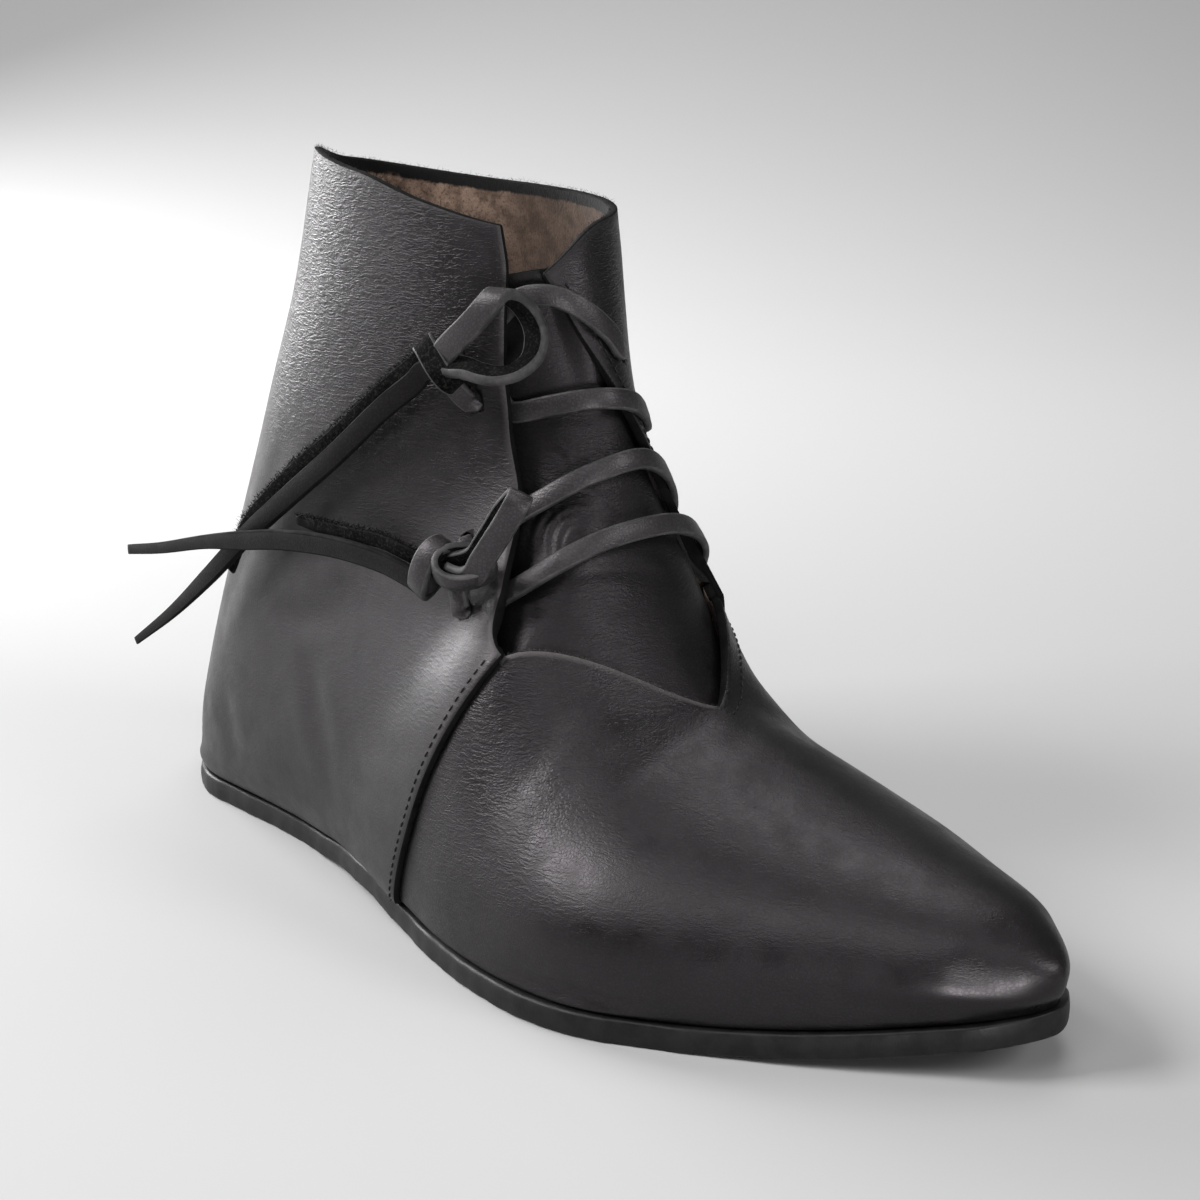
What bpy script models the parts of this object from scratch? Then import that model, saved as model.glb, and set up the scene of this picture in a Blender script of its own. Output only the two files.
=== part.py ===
"""Renaissance ankle boot for the right foot, in turned black leather.

Boot frame, in millimetres: station runs from the back of the heel to the toe, side is positive on the outer
(lateral) side and negative on the inner (medial) side, height is measured from the floor. The world frame is
in metres: X = towards the inner side, Y = towards the heel, Z = up, origin under the middle of the sole.
"""

import functools
import math
from collections import namedtuple

import bmesh
import bpy
import numpy as np
from mathutils import Vector

MM = 0.001

# Driving dimensions, in millimetres
SOLE_LENGTH = 290.0
SOLE_THICKNESS = 6.0
SOLE_EDGE_ROUND = 1.0
HEEL_END_RADIUS = 31.0
TOE_END_RADIUS = 13.0
HEEL_FLAT = (8.0, 72.0)
FOREFOOT_FLAT = (150.0, 222.0)
ARCH_LIFT = 2.4
TOE_SPRING = 9.5
FEATHER_INSET = 2.0
FIT_GAP = 0.3
WALL = 2.2
SEAM_STEP = 1.7
INSOLE_THICKNESS = 2.2
TONGUE_THICKNESS = 1.7
TONGUE_GAP = 0.9
VAMP_ROOM = 1.4
LACE_ROOM = 3.2
LACE_WIDTH = 4.8
LACE_THICKNESS = 1.8
LACE_BEVEL = 0.5
SLOT_LENGTH = 8.2
SLOT_WIDTH = 5.8
SIDE_CENTRE = 9.6
STATION_CENTRE = SOLE_LENGTH / 2

# Sole outline: middle line and half width at stations from heel to toe
SoleRow = namedtuple("SoleRow", "station axis half_width")
SOLE_ROWS = (
    SoleRow(0.0, 0.0, 30.5),
    SoleRow(31.0, 0.0, 31.5),
    SoleRow(66.0, 1.0, 32.0),
    SoleRow(88.0, 4.3, 32.8),
    SoleRow(111.0, 8.5, 35.8),
    SoleRow(136.0, 11.2, 40.4),
    SoleRow(162.0, 11.9, 47.0),
    SoleRow(184.0, 11.2, 50.8),
    SoleRow(197.0, 10.0, 51.5),
    SoleRow(209.0, 8.0, 50.0),
    SoleRow(223.0, 5.0, 45.5),
    SoleRow(240.0, 2.0, 38.5),
    SoleRow(259.0, -1.0, 29.0),
    SoleRow(276.0, -3.5, 19.0),
    SoleRow(290.0, -4.0, 11.5),
)

# Upper sections, from the nose back and up to the collar. Each one is a slanting cut through the boot. Its low
# end lies on the sole or on the back of the heel, its top end on the ridge, instep or shin. lateral and medial
# are the widest places, at the share swell of the way up. edge_lateral and edge_medial are the sides of the
# front slit. low_round and top_round are the roundness of the cut below and above its widest place.
UpperRow = namedtuple(
    "UpperRow",
    "low_station low_rise top_station top_height ridge lateral medial "
    "edge_lateral edge_medial swell low_round top_round",
)
UPPER_ROWS = (
    UpperRow(288.0, 0.0, 287.0, 28.0, -4.0, -4.0, -4.0, -4.0, -4.0, 0.45, 2.0, 2.0),
    UpperRow(277.0, 0.0, 276.0, 34.5, -4.0, 14.0, -21.0, 5.0, -12.0, 0.40, 2.2, 2.0),
    UpperRow(257.0, 0.0, 255.0, 40.5, -3.0, 29.0, -31.0, 13.0, -18.0, 0.36, 2.3, 1.9),
    UpperRow(230.0, 0.0, 230.0, 47.0, -2.0, 47.0, -40.0, 22.0, -23.0, 0.32, 2.3, 1.85),
    UpperRow(202.0, 0.0, 209.0, 54.5, 0.0, 61.5, -42.0, 30.0, -25.0, 0.28, 2.3, 1.8),
    UpperRow(167.0, 0.0, 193.5, 61.0, 1.0, 60.5, -40.0, 34.5, -28.0, 0.28, 2.2, 1.8),
    UpperRow(134.0, 0.0, 170.5, 93.0, 1.0, 54.0, -40.0, 41.0, -30.0, 0.34, 2.1, 2.1),
    UpperRow(90.0, 0.0, 166.0, 105.0, 1.0, 46.0, -40.0, 32.5, -25.0, 0.38, 2.0, 2.05),
    UpperRow(48.0, 0.0, 163.0, 114.0, 1.0, 41.0, -39.5, 25.0, -20.0, 0.40, 2.0, 2.0),
    UpperRow(16.0, 0.0, 159.5, 122.0, 1.0, 38.0, -39.0, 21.5, -15.0, 0.42, 2.1, 2.0),
    UpperRow(2.0, 0.0, 157.0, 129.0, 1.0, 36.5, -38.5, 20.5, -10.0, 0.43, 2.3, 2.0),
    UpperRow(-1.0, 15.0, 155.0, 136.0, 1.0, 35.5, -38.0, 20.0, -5.0, 0.44, 2.2, 2.0),
    UpperRow(12.0, 50.0, 153.0, 144.0, 1.0, 33.5, -37.0, 19.5, 1.0, 0.46, 2.0, 2.0),
    UpperRow(27.0, 92.0, 151.0, 153.0, 1.0, 32.0, -36.0, 19.0, 7.0, 0.48, 2.0, 2.0),
    UpperRow(45.0, 136.0, 148.5, 163.0, 1.0, 30.0, -34.0, 18.0, 11.5, 0.50, 2.0, 2.0),
    UpperRow(56.0, 178.0, 146.0, 174.0, 0.0, 28.0, -32.0, 18.0, 13.5, 0.50, 2.0, 2.0),
)
NOTCH_ROW = 5
SEAM_ROW = 6
HEEL_CORNER_ROW = 10
COLLAR_ROW = 15
NOSE_BOW = 3.4
LOW_TILT = 0.15
SOFT_ROWS = (7.0, 8.5, 13.0, 14.6)
SOFT_SPREAD = 1.3
DIP_ROWS = 3

# Collar line: how far it dips below the top section, in rows, on the way from the back to the slit
CollarRow = namedtuple("CollarRow", "share lateral medial")
COLLAR_ROWS = (
    CollarRow(0.0, 0.16, 0.16),
    CollarRow(0.35, 0.02, 0.30),
    CollarRow(0.60, 0.02, 0.32),
    CollarRow(0.80, 0.16, 0.42),
    CollarRow(1.0, 0.40, 1.35),
)
ROW_SPLITS = (4, 2, 2, 2, 2, 3, 3, 2, 2, 3, 2, 2, 2, 2, 2)
SIDE_COLUMNS = 12
SLIT_COLUMNS = 8


# Lace slots: row number and turn. Turn counts from the outer side over the ridge, so the inner slots are past 2.
Slot = namedtuple("Slot", "row turn")
OUTER_SLOTS = (Slot(12.6, 1.47), Slot(11.4, 1.51), Slot(8.3, 1.47), Slot(7.2, 1.40))
INNER_SLOTS = (Slot(11.2, 2.24), Slot(9.5, 2.42), Slot(7.65, 2.58), Slot(6.75, 2.68))

# Each strand's way over the tongue, from its outer slot to its inner slot, with its lift over the upper's face
LacePoint = namedtuple("LacePoint", "row turn lift")
UNDER = -(WALL + FIT_GAP + LACE_THICKNESS / 2 + 0.5)
OVER = FIT_GAP + LACE_THICKNESS / 2 + 0.2
STRANDS = (
    (
        LacePoint(13.00, 1.56, UNDER),
        LacePoint(13.20, 1.65, -3.2),
        LacePoint(13.15, 1.74, -0.6),
        LacePoint(12.90, 1.83, OVER),
        LacePoint(12.50, 1.93, OVER + 0.4),
        LacePoint(11.90, 2.05, OVER + 0.2),
    ),
    (
        LacePoint(11.00, 1.62, UNDER),
        LacePoint(10.60, 1.73, -2.8),
        LacePoint(10.20, 1.86, -0.8),
        LacePoint(9.90, 2.00, 0.8),
        LacePoint(9.70, 2.14, OVER),
        LacePoint(9.55, 2.28, OVER),
    ),
    (
        LacePoint(8.40, 1.58, UNDER),
        LacePoint(8.25, 1.70, -3.0),
        LacePoint(8.05, 1.88, -0.8),
        LacePoint(8.00, 2.06, 0.8),
        LacePoint(7.85, 2.22, OVER),
        LacePoint(7.70, 2.42, OVER),
    ),
    (
        LacePoint(7.05, 1.49, UNDER),
        LacePoint(6.80, 1.62, -3.0),
        LacePoint(6.55, 1.78, -1.6),
        LacePoint(6.45, 1.98, 0.4),
        LacePoint(6.50, 2.20, 1.8),
        LacePoint(6.65, 2.46, OVER + 1.3),
    ),
)

# Routes of the loops and free ends, chosen by hand, in the boot frame
UPPER_LOOP = (
    (139.0, 34.5, 142.0), (144.0, 34.0, 149.5), (150.5, 31.5, 155.5), (156.5, 27.5, 157.5),
    (160.0, 24.5, 154.0), (160.5, 24.0, 148.5), (157.5, 26.0, 142.0), (151.5, 30.0, 138.0),
    (145.0, 34.0, 137.0),
)
LOWER_LOOP = (
    (152.5, 40.5, 96.0), (156.0, 39.5, 102.0), (158.5, 37.5, 108.5), (160.0, 35.5, 113.0),
    (160.5, 33.0, 113.5), (160.0, 32.5, 109.0), (158.0, 34.5, 102.5), (155.0, 37.0, 96.0),
)
UPPER_LONG_END = (
    (119.0, 35.0, 131.5), (112.0, 36.8, 124.0), (97.0, 39.5, 111.0), (80.0, 41.5, 98.0),
    (63.0, 42.8, 84.0), (46.0, 43.7, 71.0), (30.0, 44.0, 57.0), (11.0, 44.0, 45.0),
)
UPPER_SHORT_END = (
    (118.5, 32.2, 136.0), (112.5, 34.0, 129.5), (97.0, 36.8, 115.5), (80.0, 38.8, 102.5),
    (64.0, 40.0, 89.5), (54.0, 40.6, 77.5),
)
LOWER_LONG_END = (
    (134.5, 44.5, 88.5), (127.0, 46.0, 91.0), (116.0, 47.0, 91.5), (95.0, 47.8, 90.0),
    (70.0, 47.8, 85.0), (48.0, 47.2, 81.0), (14.0, 46.0, 72.0),
)
LOWER_SHORT_END = (
    (134.0, 41.5, 93.5), (127.0, 43.0, 95.5), (118.0, 44.0, 96.3), (105.0, 44.8, 96.0), (92.0, 45.0, 95.0),
)
# Knots: row number and turn of the middle on the upper, half sizes along and across the lace
Knot = namedtuple("Knot", "row turn lift half_length half_width half_depth")
UPPER_KNOT = Knot(12.4, 1.45, 5.6, 8.0, 6.5, 4.2)
LOWER_KNOT = Knot(7.75, 1.44, 5.8, 8.5, 6.5, 4.4)
TONGUE_ROWS = 14
TONGUE_COLUMNS = 10
TONGUE_TOP = 13.75
BAND_STEP = 1.9
FREE_STEP = 4.5
LOOP_STEP = 3.0
UPRIGHT = (0.0, 0.0, 1.0)
TOWARDS_VIEWER = (0.7, 0.7, 0.2)
ALONG_BACK = (-0.7, 0.65, 0.3)


def slopes_of(xs, ys, flat_start):
    """Slopes at the table rows for a curve that never overshoots them."""
    steps = np.diff(xs)
    secants = np.diff(ys) / steps
    slopes = np.zeros(len(xs))
    for i in range(1, len(xs) - 1):
        before, after = secants[i - 1], secants[i]
        if before * after > 0:
            low = 2 * steps[i] + steps[i - 1]
            high = steps[i] + 2 * steps[i - 1]
            slopes[i] = (low + high) / (low / before + high / after)
    slopes[0] = 0.0 if flat_start else secants[0]
    slopes[-1] = secants[-1]
    return slopes


class Curve:
    """Smooth curve through the rows of a table column."""

    def __init__(self, xs, ys, flat_start=False):
        self.xs = np.asarray(xs, float)
        self.ys = np.asarray(ys, float)
        self.slopes = slopes_of(self.xs, self.ys, flat_start)

    def at(self, x):
        x = min(max(x, self.xs[0]), self.xs[-1])
        i = min(int(np.searchsorted(self.xs, x, side="right")) - 1, len(self.xs) - 2)
        step = self.xs[i + 1] - self.xs[i]
        t = (x - self.xs[i]) / step
        start = self.ys[i] * (1 + 2 * t) * (1 - t) ** 2 + self.slopes[i] * step * t * (1 - t) ** 2
        end = self.ys[i + 1] * t * t * (3 - 2 * t) + self.slopes[i + 1] * step * t * t * (t - 1)
        return float(start + end)


def smooth(low, high, x):
    """Soft step from 0 at low to 1 at high."""
    t = min(max((x - low) / (high - low), 0.0), 1.0)
    return t * t * (3 - 2 * t)


SOLE_AXIS = Curve([r.station for r in SOLE_ROWS], [r.axis for r in SOLE_ROWS])
SOLE_HALF = Curve([r.station for r in SOLE_ROWS], [r.half_width for r in SOLE_ROWS])
UPPER_COLUMNS = {
    name: Curve(
        range(len(UPPER_ROWS)),
        [getattr(row, name) for row in UPPER_ROWS],
        flat_start=name in ("low_station", "top_station", "top_height"),
    )
    for name in UpperRow._fields
}

COLLAR_OUTER = Curve([r.share for r in COLLAR_ROWS], [r.lateral for r in COLLAR_ROWS])
COLLAR_INNER = Curve([r.share for r in COLLAR_ROWS], [r.medial for r in COLLAR_ROWS])


def world(point):
    """Boot frame in millimetres to world in metres."""
    station, side, height = point
    return Vector(((SIDE_CENTRE - side) * MM, (STATION_CENTRE - station) * MM, height * MM))


def sole_edges(station, inset=0.0):
    """Outer and inner edge of the sole at a station, drawn in by inset."""
    length = SOLE_LENGTH - 2 * inset
    share = min(max((station - inset) / length, 0.0), 1.0)
    full = share * SOLE_LENGTH
    half = SOLE_HALF.at(full) - inset
    if full < HEEL_END_RADIUS:
        half *= math.sqrt(max(1 - (1 - full / HEEL_END_RADIUS) ** 2, 0.0))
    toe = full - (SOLE_LENGTH - TOE_END_RADIUS)
    if toe > 0:
        half *= math.sqrt(max(1 - (toe / TOE_END_RADIUS) ** 2, 0.0))
    axis = SOLE_AXIS.at(full)
    return axis + half, axis - half


def sole_bottom(station):
    """Height of the sole's underside: flat heel and forefoot, low arch, toe spring."""
    if HEEL_FLAT[1] < station < FOREFOOT_FLAT[0]:
        share = (station - HEEL_FLAT[1]) / (FOREFOOT_FLAT[0] - HEEL_FLAT[1])
        return ARCH_LIFT * math.sin(math.pi * share) ** 2
    if station > FOREFOOT_FLAT[1]:
        share = (station - FOREFOOT_FLAT[1]) / (SOLE_LENGTH - FOREFOOT_FLAT[1])
        return TOE_SPRING * share ** 1.8
    return 0.0


def sole_top(station):
    return sole_bottom(station) + SOLE_THICKNESS


@functools.lru_cache(maxsize=None)
def upper_row(u):
    """Section of the upper at the row number u, between the table rows."""
    return UpperRow(*(UPPER_COLUMNS[name].at(u) for name in UpperRow._fields))


def slit_turn(row, inner):
    """Turn of the front slit's edge on a section; over 2 where the inner edge passes the ridge."""
    edge = row.edge_medial if inner else row.edge_lateral
    passed = inner and edge > row.ridge
    wide = row.medial if inner and not passed else row.lateral
    if wide == row.ridge:
        return 1.5
    share = min(max((edge - row.ridge) / (wide - row.ridge), 0.0), 1.0)
    turn = 1 + math.acos(share ** (row.top_round / 2)) * 2 / math.pi
    return 4 - turn if passed else turn


def section_point(u, turn, inner):
    """Point of one section, by its turn: 0 at its low end, 1 at its widest place, 2 on the ridge."""
    row = upper_row(u)
    wide = row.medial if inner else row.lateral
    low = 0.0
    if row.low_rise <= 0:
        low = sole_edges(row.low_station, FEATHER_INSET)[1 if inner else 0]
    angle = (turn if turn <= 1 else turn - 1) * math.pi / 2
    if turn <= 1:
        power = 2 / row.low_round
        along = row.swell * (1 - max(math.cos(angle), 0.0) ** power)
        side = low + (wide - low) * math.sin(angle) ** power
    else:
        power = 2 / row.top_round
        along = row.swell + (1 - row.swell) * math.sin(angle) ** power
        side = row.ridge + (wide - row.ridge) * max(math.cos(angle), 0.0) ** power
    low_height = sole_top(row.low_station) + FIT_GAP + row.low_rise
    station = row.low_station + (row.top_station - row.low_station) * along
    height = low_height + (row.top_height - low_height) * along
    bow = 6.75 * along ** 2 * (1 - along)
    station += NOSE_BOW * bow * max(1 - u * u, 0.0) ** 2
    return np.array((station, side, height))


def upper_point(u, turn, inner):
    """Point on the outer face of the upper; turn goes on past the ridge, from 2, down the other side.

    Round the heel each point is the mean of nearby sections, so that the heel corner leaves no crease above it.
    """
    if turn > 2:
        return upper_point(u, 4 - turn, not inner)
    soft = smooth(SOFT_ROWS[0], SOFT_ROWS[1], u) * (1 - smooth(SOFT_ROWS[2], SOFT_ROWS[3], u))
    spread = SOFT_SPREAD * soft * smooth(0.0, 0.6, turn)
    if spread <= 0:
        return section_point(u, turn, inner)
    shares = ((-1.0, 1), (-0.5, 3), (0.0, 4), (0.5, 3), (1.0, 1))
    return sum(section_point(u + spread * way, turn, inner) * weight for way, weight in shares) / 12


def upper_normal(u, turn, inner):
    """Outward direction at a point of the upper."""
    if turn > 2:
        return upper_normal(u, 4 - turn, not inner)
    step = 0.02
    last = COLLAR_ROW
    if turn <= 0 and u <= HEEL_CORNER_ROW:
        ahead = upper_point(max(u - step, 0), 0, inner)
        behind = upper_point(min(u + step, HEEL_CORNER_ROW), 0, inner)
        along = ahead - behind
        normal = np.array((-along[1], along[0], 0.0)) * (-1 if inner else 1)
        if u <= 0:
            normal = np.array((1.0, 0.0, 0.0))
        if u >= HEEL_CORNER_ROW:
            normal = np.array((-1.0, 0.0, 0.0))
        return normal / np.linalg.norm(normal)
    if u <= 0 or turn <= 0:
        inner = False
    uu = min(max(u, 2 * step), last - step)
    tt = min(max(turn, 2 * step), 2 - 2 * step)
    across = upper_point(uu, tt + step, inner) - upper_point(uu, tt - step, inner)
    along = upper_point(uu + step, tt, inner) - upper_point(uu - step, tt, inner)
    normal = np.cross(along, across) * (-1 if inner else 1)
    if u <= 0 or turn <= 0 or turn >= 2:
        normal[1] = 0.0
    normal = normal / np.linalg.norm(normal)
    normal[2] = max(normal[2], -LOW_TILT)
    return normal / np.linalg.norm(normal)


def on_upper(u, turn, inner, offset):
    """Point at a distance from the outer face of the upper, outwards positive."""
    point = upper_point(u, turn, inner) + upper_normal(u, turn, inner) * offset
    point[2] = max(point[2], sole_top(point[0]) + FIT_GAP)
    return point


def quarter_step(u):
    """How far the quarter stands out over the vamp behind the side seam."""
    return SEAM_STEP * (1 - smooth(SEAM_ROW, SEAM_ROW + 1.3, u)) if u >= SEAM_ROW else 0.0


def column_places():
    """Columns of the upper's net: side, share of the way to the slit, share over the slit."""
    outer = [(False, k / SIDE_COLUMNS, None) for k in range(SIDE_COLUMNS + 1)]
    half = SLIT_COLUMNS // 2
    slit = [(False, 1.0, k / half) for k in range(1, half + 1)]
    slit += [(True, 1.0, (half - k) / half) for k in range(1, half)]
    inner = [(True, k / SIDE_COLUMNS, None) for k in range(SIDE_COLUMNS, -1, -1)]
    return outer + slit + inner


def net_place(u, place):
    """Row number and turn of one net point, with the V of the throat and the dip of the collar."""
    inner, share, over = place
    if over is not None:
        away = 1 - over
        drop = (SEAM_ROW - NOTCH_ROW) * (1 - away ** 0.8)
        u = u - drop * smooth(NOTCH_ROW - 2, SEAM_ROW, u)
    elif u > COLLAR_ROW - DIP_ROWS:
        dip = (COLLAR_INNER if inner else COLLAR_OUTER).at(share)
        u = u - dip * (u - COLLAR_ROW + DIP_ROWS) / DIP_ROWS
    edge = slit_turn(upper_row(u), inner)
    turn = edge * share if over is None else edge + (2 - edge) * over
    return u, turn, inner


def row_numbers():
    """Row numbers of the upper's net, with each table row among them."""
    numbers = [0.0]
    for index, splits in enumerate(ROW_SPLITS):
        numbers += [index + (k + 1) / splits for k in range(splits)]
    return numbers


class NetMesh:
    """Collects points and faces; points at the same place are shared."""

    def __init__(self):
        self.points = []
        self.faces = []
        self.index = {}

    def point(self, place):
        key = tuple(round(float(value), 4) for value in place)
        if key not in self.index:
            self.index[key] = len(self.points)
            self.points.append(world(place))
        return self.index[key]

    def face(self, *corners):
        kept = []
        for corner in corners:
            if corner not in kept:
                kept.append(corner)
        if len(kept) > 2:
            self.faces.append(kept)

    def strip(self, first, second):
        for a, b, c, d in zip(first, first[1:], second[1:], second):
            self.face(a, b, c, d)

    def make(self, name, material):
        mesh = bpy.data.meshes.new(name)
        mesh.from_pydata(self.points, [], self.faces)
        net = bmesh.new()
        net.from_mesh(mesh)
        bmesh.ops.recalc_face_normals(net, faces=net.faces)
        net.to_mesh(mesh)
        net.free()
        mesh.shade_smooth()
        mesh.set_sharp_from_angle(angle=math.radians(40))
        made = bpy.data.objects.new(name, mesh)
        made.data.materials.append(material)
        bpy.context.collection.objects.link(made)
        return made


def leather(name, colour, roughness):
    """Principled material of one piece."""
    material = bpy.data.materials.new(name)
    material.use_nodes = True
    shader = material.node_tree.nodes["Principled BSDF"]
    shader.inputs["Base Color"].default_value = (*colour, 1.0)
    shader.inputs["Roughness"].default_value = roughness
    shader.inputs["Metallic"].default_value = 0.0
    return material


def plate(name, material, stations, edges, bottom, top, edge_round):
    """Closed plate with rounded edges, from its outline and its two faces."""
    net = NetMesh()
    rings = []
    for station in stations:
        outer, inner = edges(station)
        middle = (outer + inner) / 2
        half = (outer - inner) / 2
        rounding = min(edge_round, half)
        low, high = bottom(station), top(station)
        profile = [
            (half - rounding, low),
            (half, low + edge_round),
            (half, high - edge_round),
            (half - rounding, high),
        ]
        ring = [net.point((station, middle + x, z)) for x, z in profile]
        ring += [net.point((station, middle - x, z)) for x, z in reversed(profile)]
        rings.append(ring)
    for first, second in zip(rings, rings[1:]):
        net.strip(first + first[:1], second + second[:1])
    net.face(*rings[0])
    net.face(*rings[-1])
    return net.make(name, material)


def end_stations(start, end, step):
    """Stations close together at both round ends and evenly spaced between them."""
    near = [0.0, 0.4, 1.2, 2.6, 4.8, 8.0, 12.5, 18.0, 24.5]
    middle = list(np.arange(start + 31.0, end - 31.0, step))
    return [start + d for d in near] + middle + [end - d for d in reversed(near)]


def build_outsole(material):
    flats = set(HEEL_FLAT + FOREFOOT_FLAT)
    stations = end_stations(0.05, SOLE_LENGTH - 0.05, 8.0)
    stations = sorted([s for s in stations if min(abs(s - f) for f in flats) > 2.5] + list(flats))
    return plate("outsole", material, stations, sole_edges, sole_bottom, sole_top, SOLE_EDGE_ROUND)


def build_insole(material):
    inset = FEATHER_INSET + WALL + 1.4

    def bottom(station):
        return sole_top(station) + FIT_GAP

    def top(station):
        return bottom(station) + INSOLE_THICKNESS

    stations = end_stations(inset + 0.3, SOLE_LENGTH - inset - 0.3, 14.0)
    return plate("insole", material, stations, lambda s: sole_edges(s, inset), bottom, top, 0.5)


def build_upper(material):
    """Vamp and quarters as one wall, open underneath, at the throat, at the slit and at the collar."""
    net = NetMesh()
    places = column_places()
    numbers = row_numbers()
    seam = numbers.index(float(SEAM_ROW))
    first_slit, last_slit = SIDE_COLUMNS, SIDE_COLUMNS + SLIT_COLUMNS
    quarters = (range(0, first_slit + 1), range(last_slit, len(places)))

    def row_of(u, offset):
        made = []
        for place in places:
            where = net_place(u, place)
            made.append(net.point(on_upper(*where, offset(where))))
        return made

    vamp_out = [row_of(u, lambda where: 0.0) for u in numbers[: seam + 1]]
    quarter_out = [row_of(u, lambda where: quarter_step(where[0])) for u in numbers[seam:]]
    inside = [row_of(u, lambda where: -WALL) for u in numbers]

    for sheet in (vamp_out, inside[: seam + 1]):
        for first, second in zip(sheet, sheet[1:]):
            net.strip(first, second)
    for sheet in (quarter_out, inside[seam:]):
        for first, second in zip(sheet, sheet[1:]):
            for block in quarters:
                net.strip([first[j] for j in block], [second[j] for j in block])

    lapped = [vamp_out[seam][j] for j in range(len(places))]
    raised = quarter_out[0]
    for block in quarters:
        net.strip([lapped[j] for j in block], [raised[j] for j in block])
    throat = range(first_slit, last_slit + 1)
    net.strip([lapped[j] for j in throat], [inside[seam][j] for j in throat])
    for block in quarters:
        net.strip([quarter_out[-1][j] for j in block], [inside[-1][j] for j in block])
    for column in (first_slit, last_slit):
        net.face(lapped[column], raised[column], inside[seam][column])
        net.strip([row[column] for row in quarter_out], [row[column] for row in inside[seam:]])
    for column in (0, len(places) - 1):
        corner = numbers.index(float(HEEL_CORNER_ROW))
        outside = vamp_out + quarter_out
        net.strip(
            [row[column] for row in outside[: corner + 2]],
            [row[column] for row in inside[: seam + 1] + inside[seam : corner + 1]],
        )
    return net.make("upper", material)


def tongue_place(across, up):
    """Row number and turn of a tongue point; across runs from its free outer edge to its sewn inner edge."""
    away = abs(2 * across - 1)
    low = NOTCH_ROW - 0.45 + 0.95 * away ** 0.8
    u = low + (TONGUE_TOP - low) * up
    row = upper_row(u)
    lap = 0.02 + 0.24 * (1 - smooth(SEAM_ROW + 1, TONGUE_TOP, u))
    outer = slit_turn(row, False) - lap
    inner = 4 - slit_turn(row, True) + 0.11
    return u, outer + (inner - outer) * across


def tongue_depth(across, u):
    """Depth of the tongue's outer face under the upper's outer face; deeper where the laces run over it."""
    lowered = LACE_ROOM * (1 - smooth(0.55, 0.95, across)) * smooth(NOTCH_ROW, SEAM_ROW + 0.6, u)
    under_vamp = VAMP_ROOM * (1 - smooth(NOTCH_ROW, SEAM_ROW + 0.4, u))
    return WALL + TONGUE_GAP + lowered + under_vamp


def build_tongue(material):
    """Sheet under the slit, from under the vamp almost to the collar."""
    net = NetMesh()
    faces = []
    for thickness in (0.0, TONGUE_THICKNESS):
        rows = []
        for i in range(TONGUE_ROWS + 1):
            row = []
            for j in range(TONGUE_COLUMNS + 1):
                across = j / TONGUE_COLUMNS
                u, turn = tongue_place(across, i / TONGUE_ROWS)
                depth = tongue_depth(across, u) + thickness
                row.append(net.point(on_upper(u, turn, False, -depth)))
            rows.append(row)
        faces.append(rows)
    for rows in faces:
        for first, second in zip(rows, rows[1:]):
            net.strip(first, second)
    front, back = faces
    rims = [(front[0], back[0]), (front[-1], back[-1])]
    rims += [([row[j] for row in front], [row[j] for row in back]) for j in (0, -1)]
    for first, second in rims:
        net.strip(first, second)
    return net.make("tongue", material)


def surface_directions(u, turn):
    """Directions up along the slit, across it, and outwards, with the length of one turn in millimetres."""
    step = 0.03
    up = upper_point(min(u + step, COLLAR_ROW), turn, False) - upper_point(u - step, turn, False)
    across = upper_point(u, turn + step, False) - upper_point(u, turn - step, False)
    scale = np.linalg.norm(across) / (2 * step)
    normal = upper_normal(u, turn, False)
    across = across / np.linalg.norm(across)
    up = up - across * (up @ across)
    return up / np.linalg.norm(up), across, normal, scale


def cut_slots(upper):
    """Cuts the eight lace slots through the wall."""
    net = NetMesh()
    sides = 10
    for slot in OUTER_SLOTS + INNER_SLOTS:
        up, across, normal, _ = surface_directions(slot.row, slot.turn)
        middle = upper_point(slot.row, slot.turn, False)
        rings = []
        for depth in (-WALL - 3.0, SEAM_STEP + 3.0):
            ring = []
            for k in range(sides):
                angle = 2 * math.pi * k / sides
                out = up * math.cos(angle) * SLOT_LENGTH / 2 + across * math.sin(angle) * SLOT_WIDTH / 2
                ring.append(net.point(middle + normal * depth + out))
            rings.append(ring)
        net.strip(rings[0] + rings[0][:1], rings[1] + rings[1][:1])
        net.face(*rings[0])
        net.face(*rings[1])
    cutter = net.make("slot_cutter", upper.data.materials[0])
    cutter.hide_render = True
    cutter.display_type = "WIRE"
    cut = upper.modifiers.new("slots", "BOOLEAN")
    cut.operation = "DIFFERENCE"
    cut.object = cutter


def smooth_route(points, step):
    """Points at even steps on a smooth curve through the route's own points."""
    points = np.asarray(points, float)
    padded = np.vstack([2 * points[0] - points[1], points, 2 * points[-1] - points[-2]])
    fine = []
    for before, start, end, after in zip(padded, padded[1:], padded[2:], padded[3:]):
        for t in np.arange(0, 1, 0.05):
            fine.append(
                0.5 * (2 * start + (end - before) * t + (2 * before - 5 * start + 4 * end - after) * t ** 2
                       + (3 * start - before - 3 * end + after) * t ** 3)
            )
    fine.append(points[-1])
    fine = np.array(fine)
    lengths = np.concatenate([[0], np.cumsum(np.linalg.norm(np.diff(fine[:, :3], axis=0), axis=1))])
    count = max(int(round(lengths[-1] / step)), 4)
    at = np.linspace(0, lengths[-1], count + 1)
    return np.stack([np.interp(at, lengths, fine[:, k]) for k in range(fine.shape[1])], axis=1)


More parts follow.
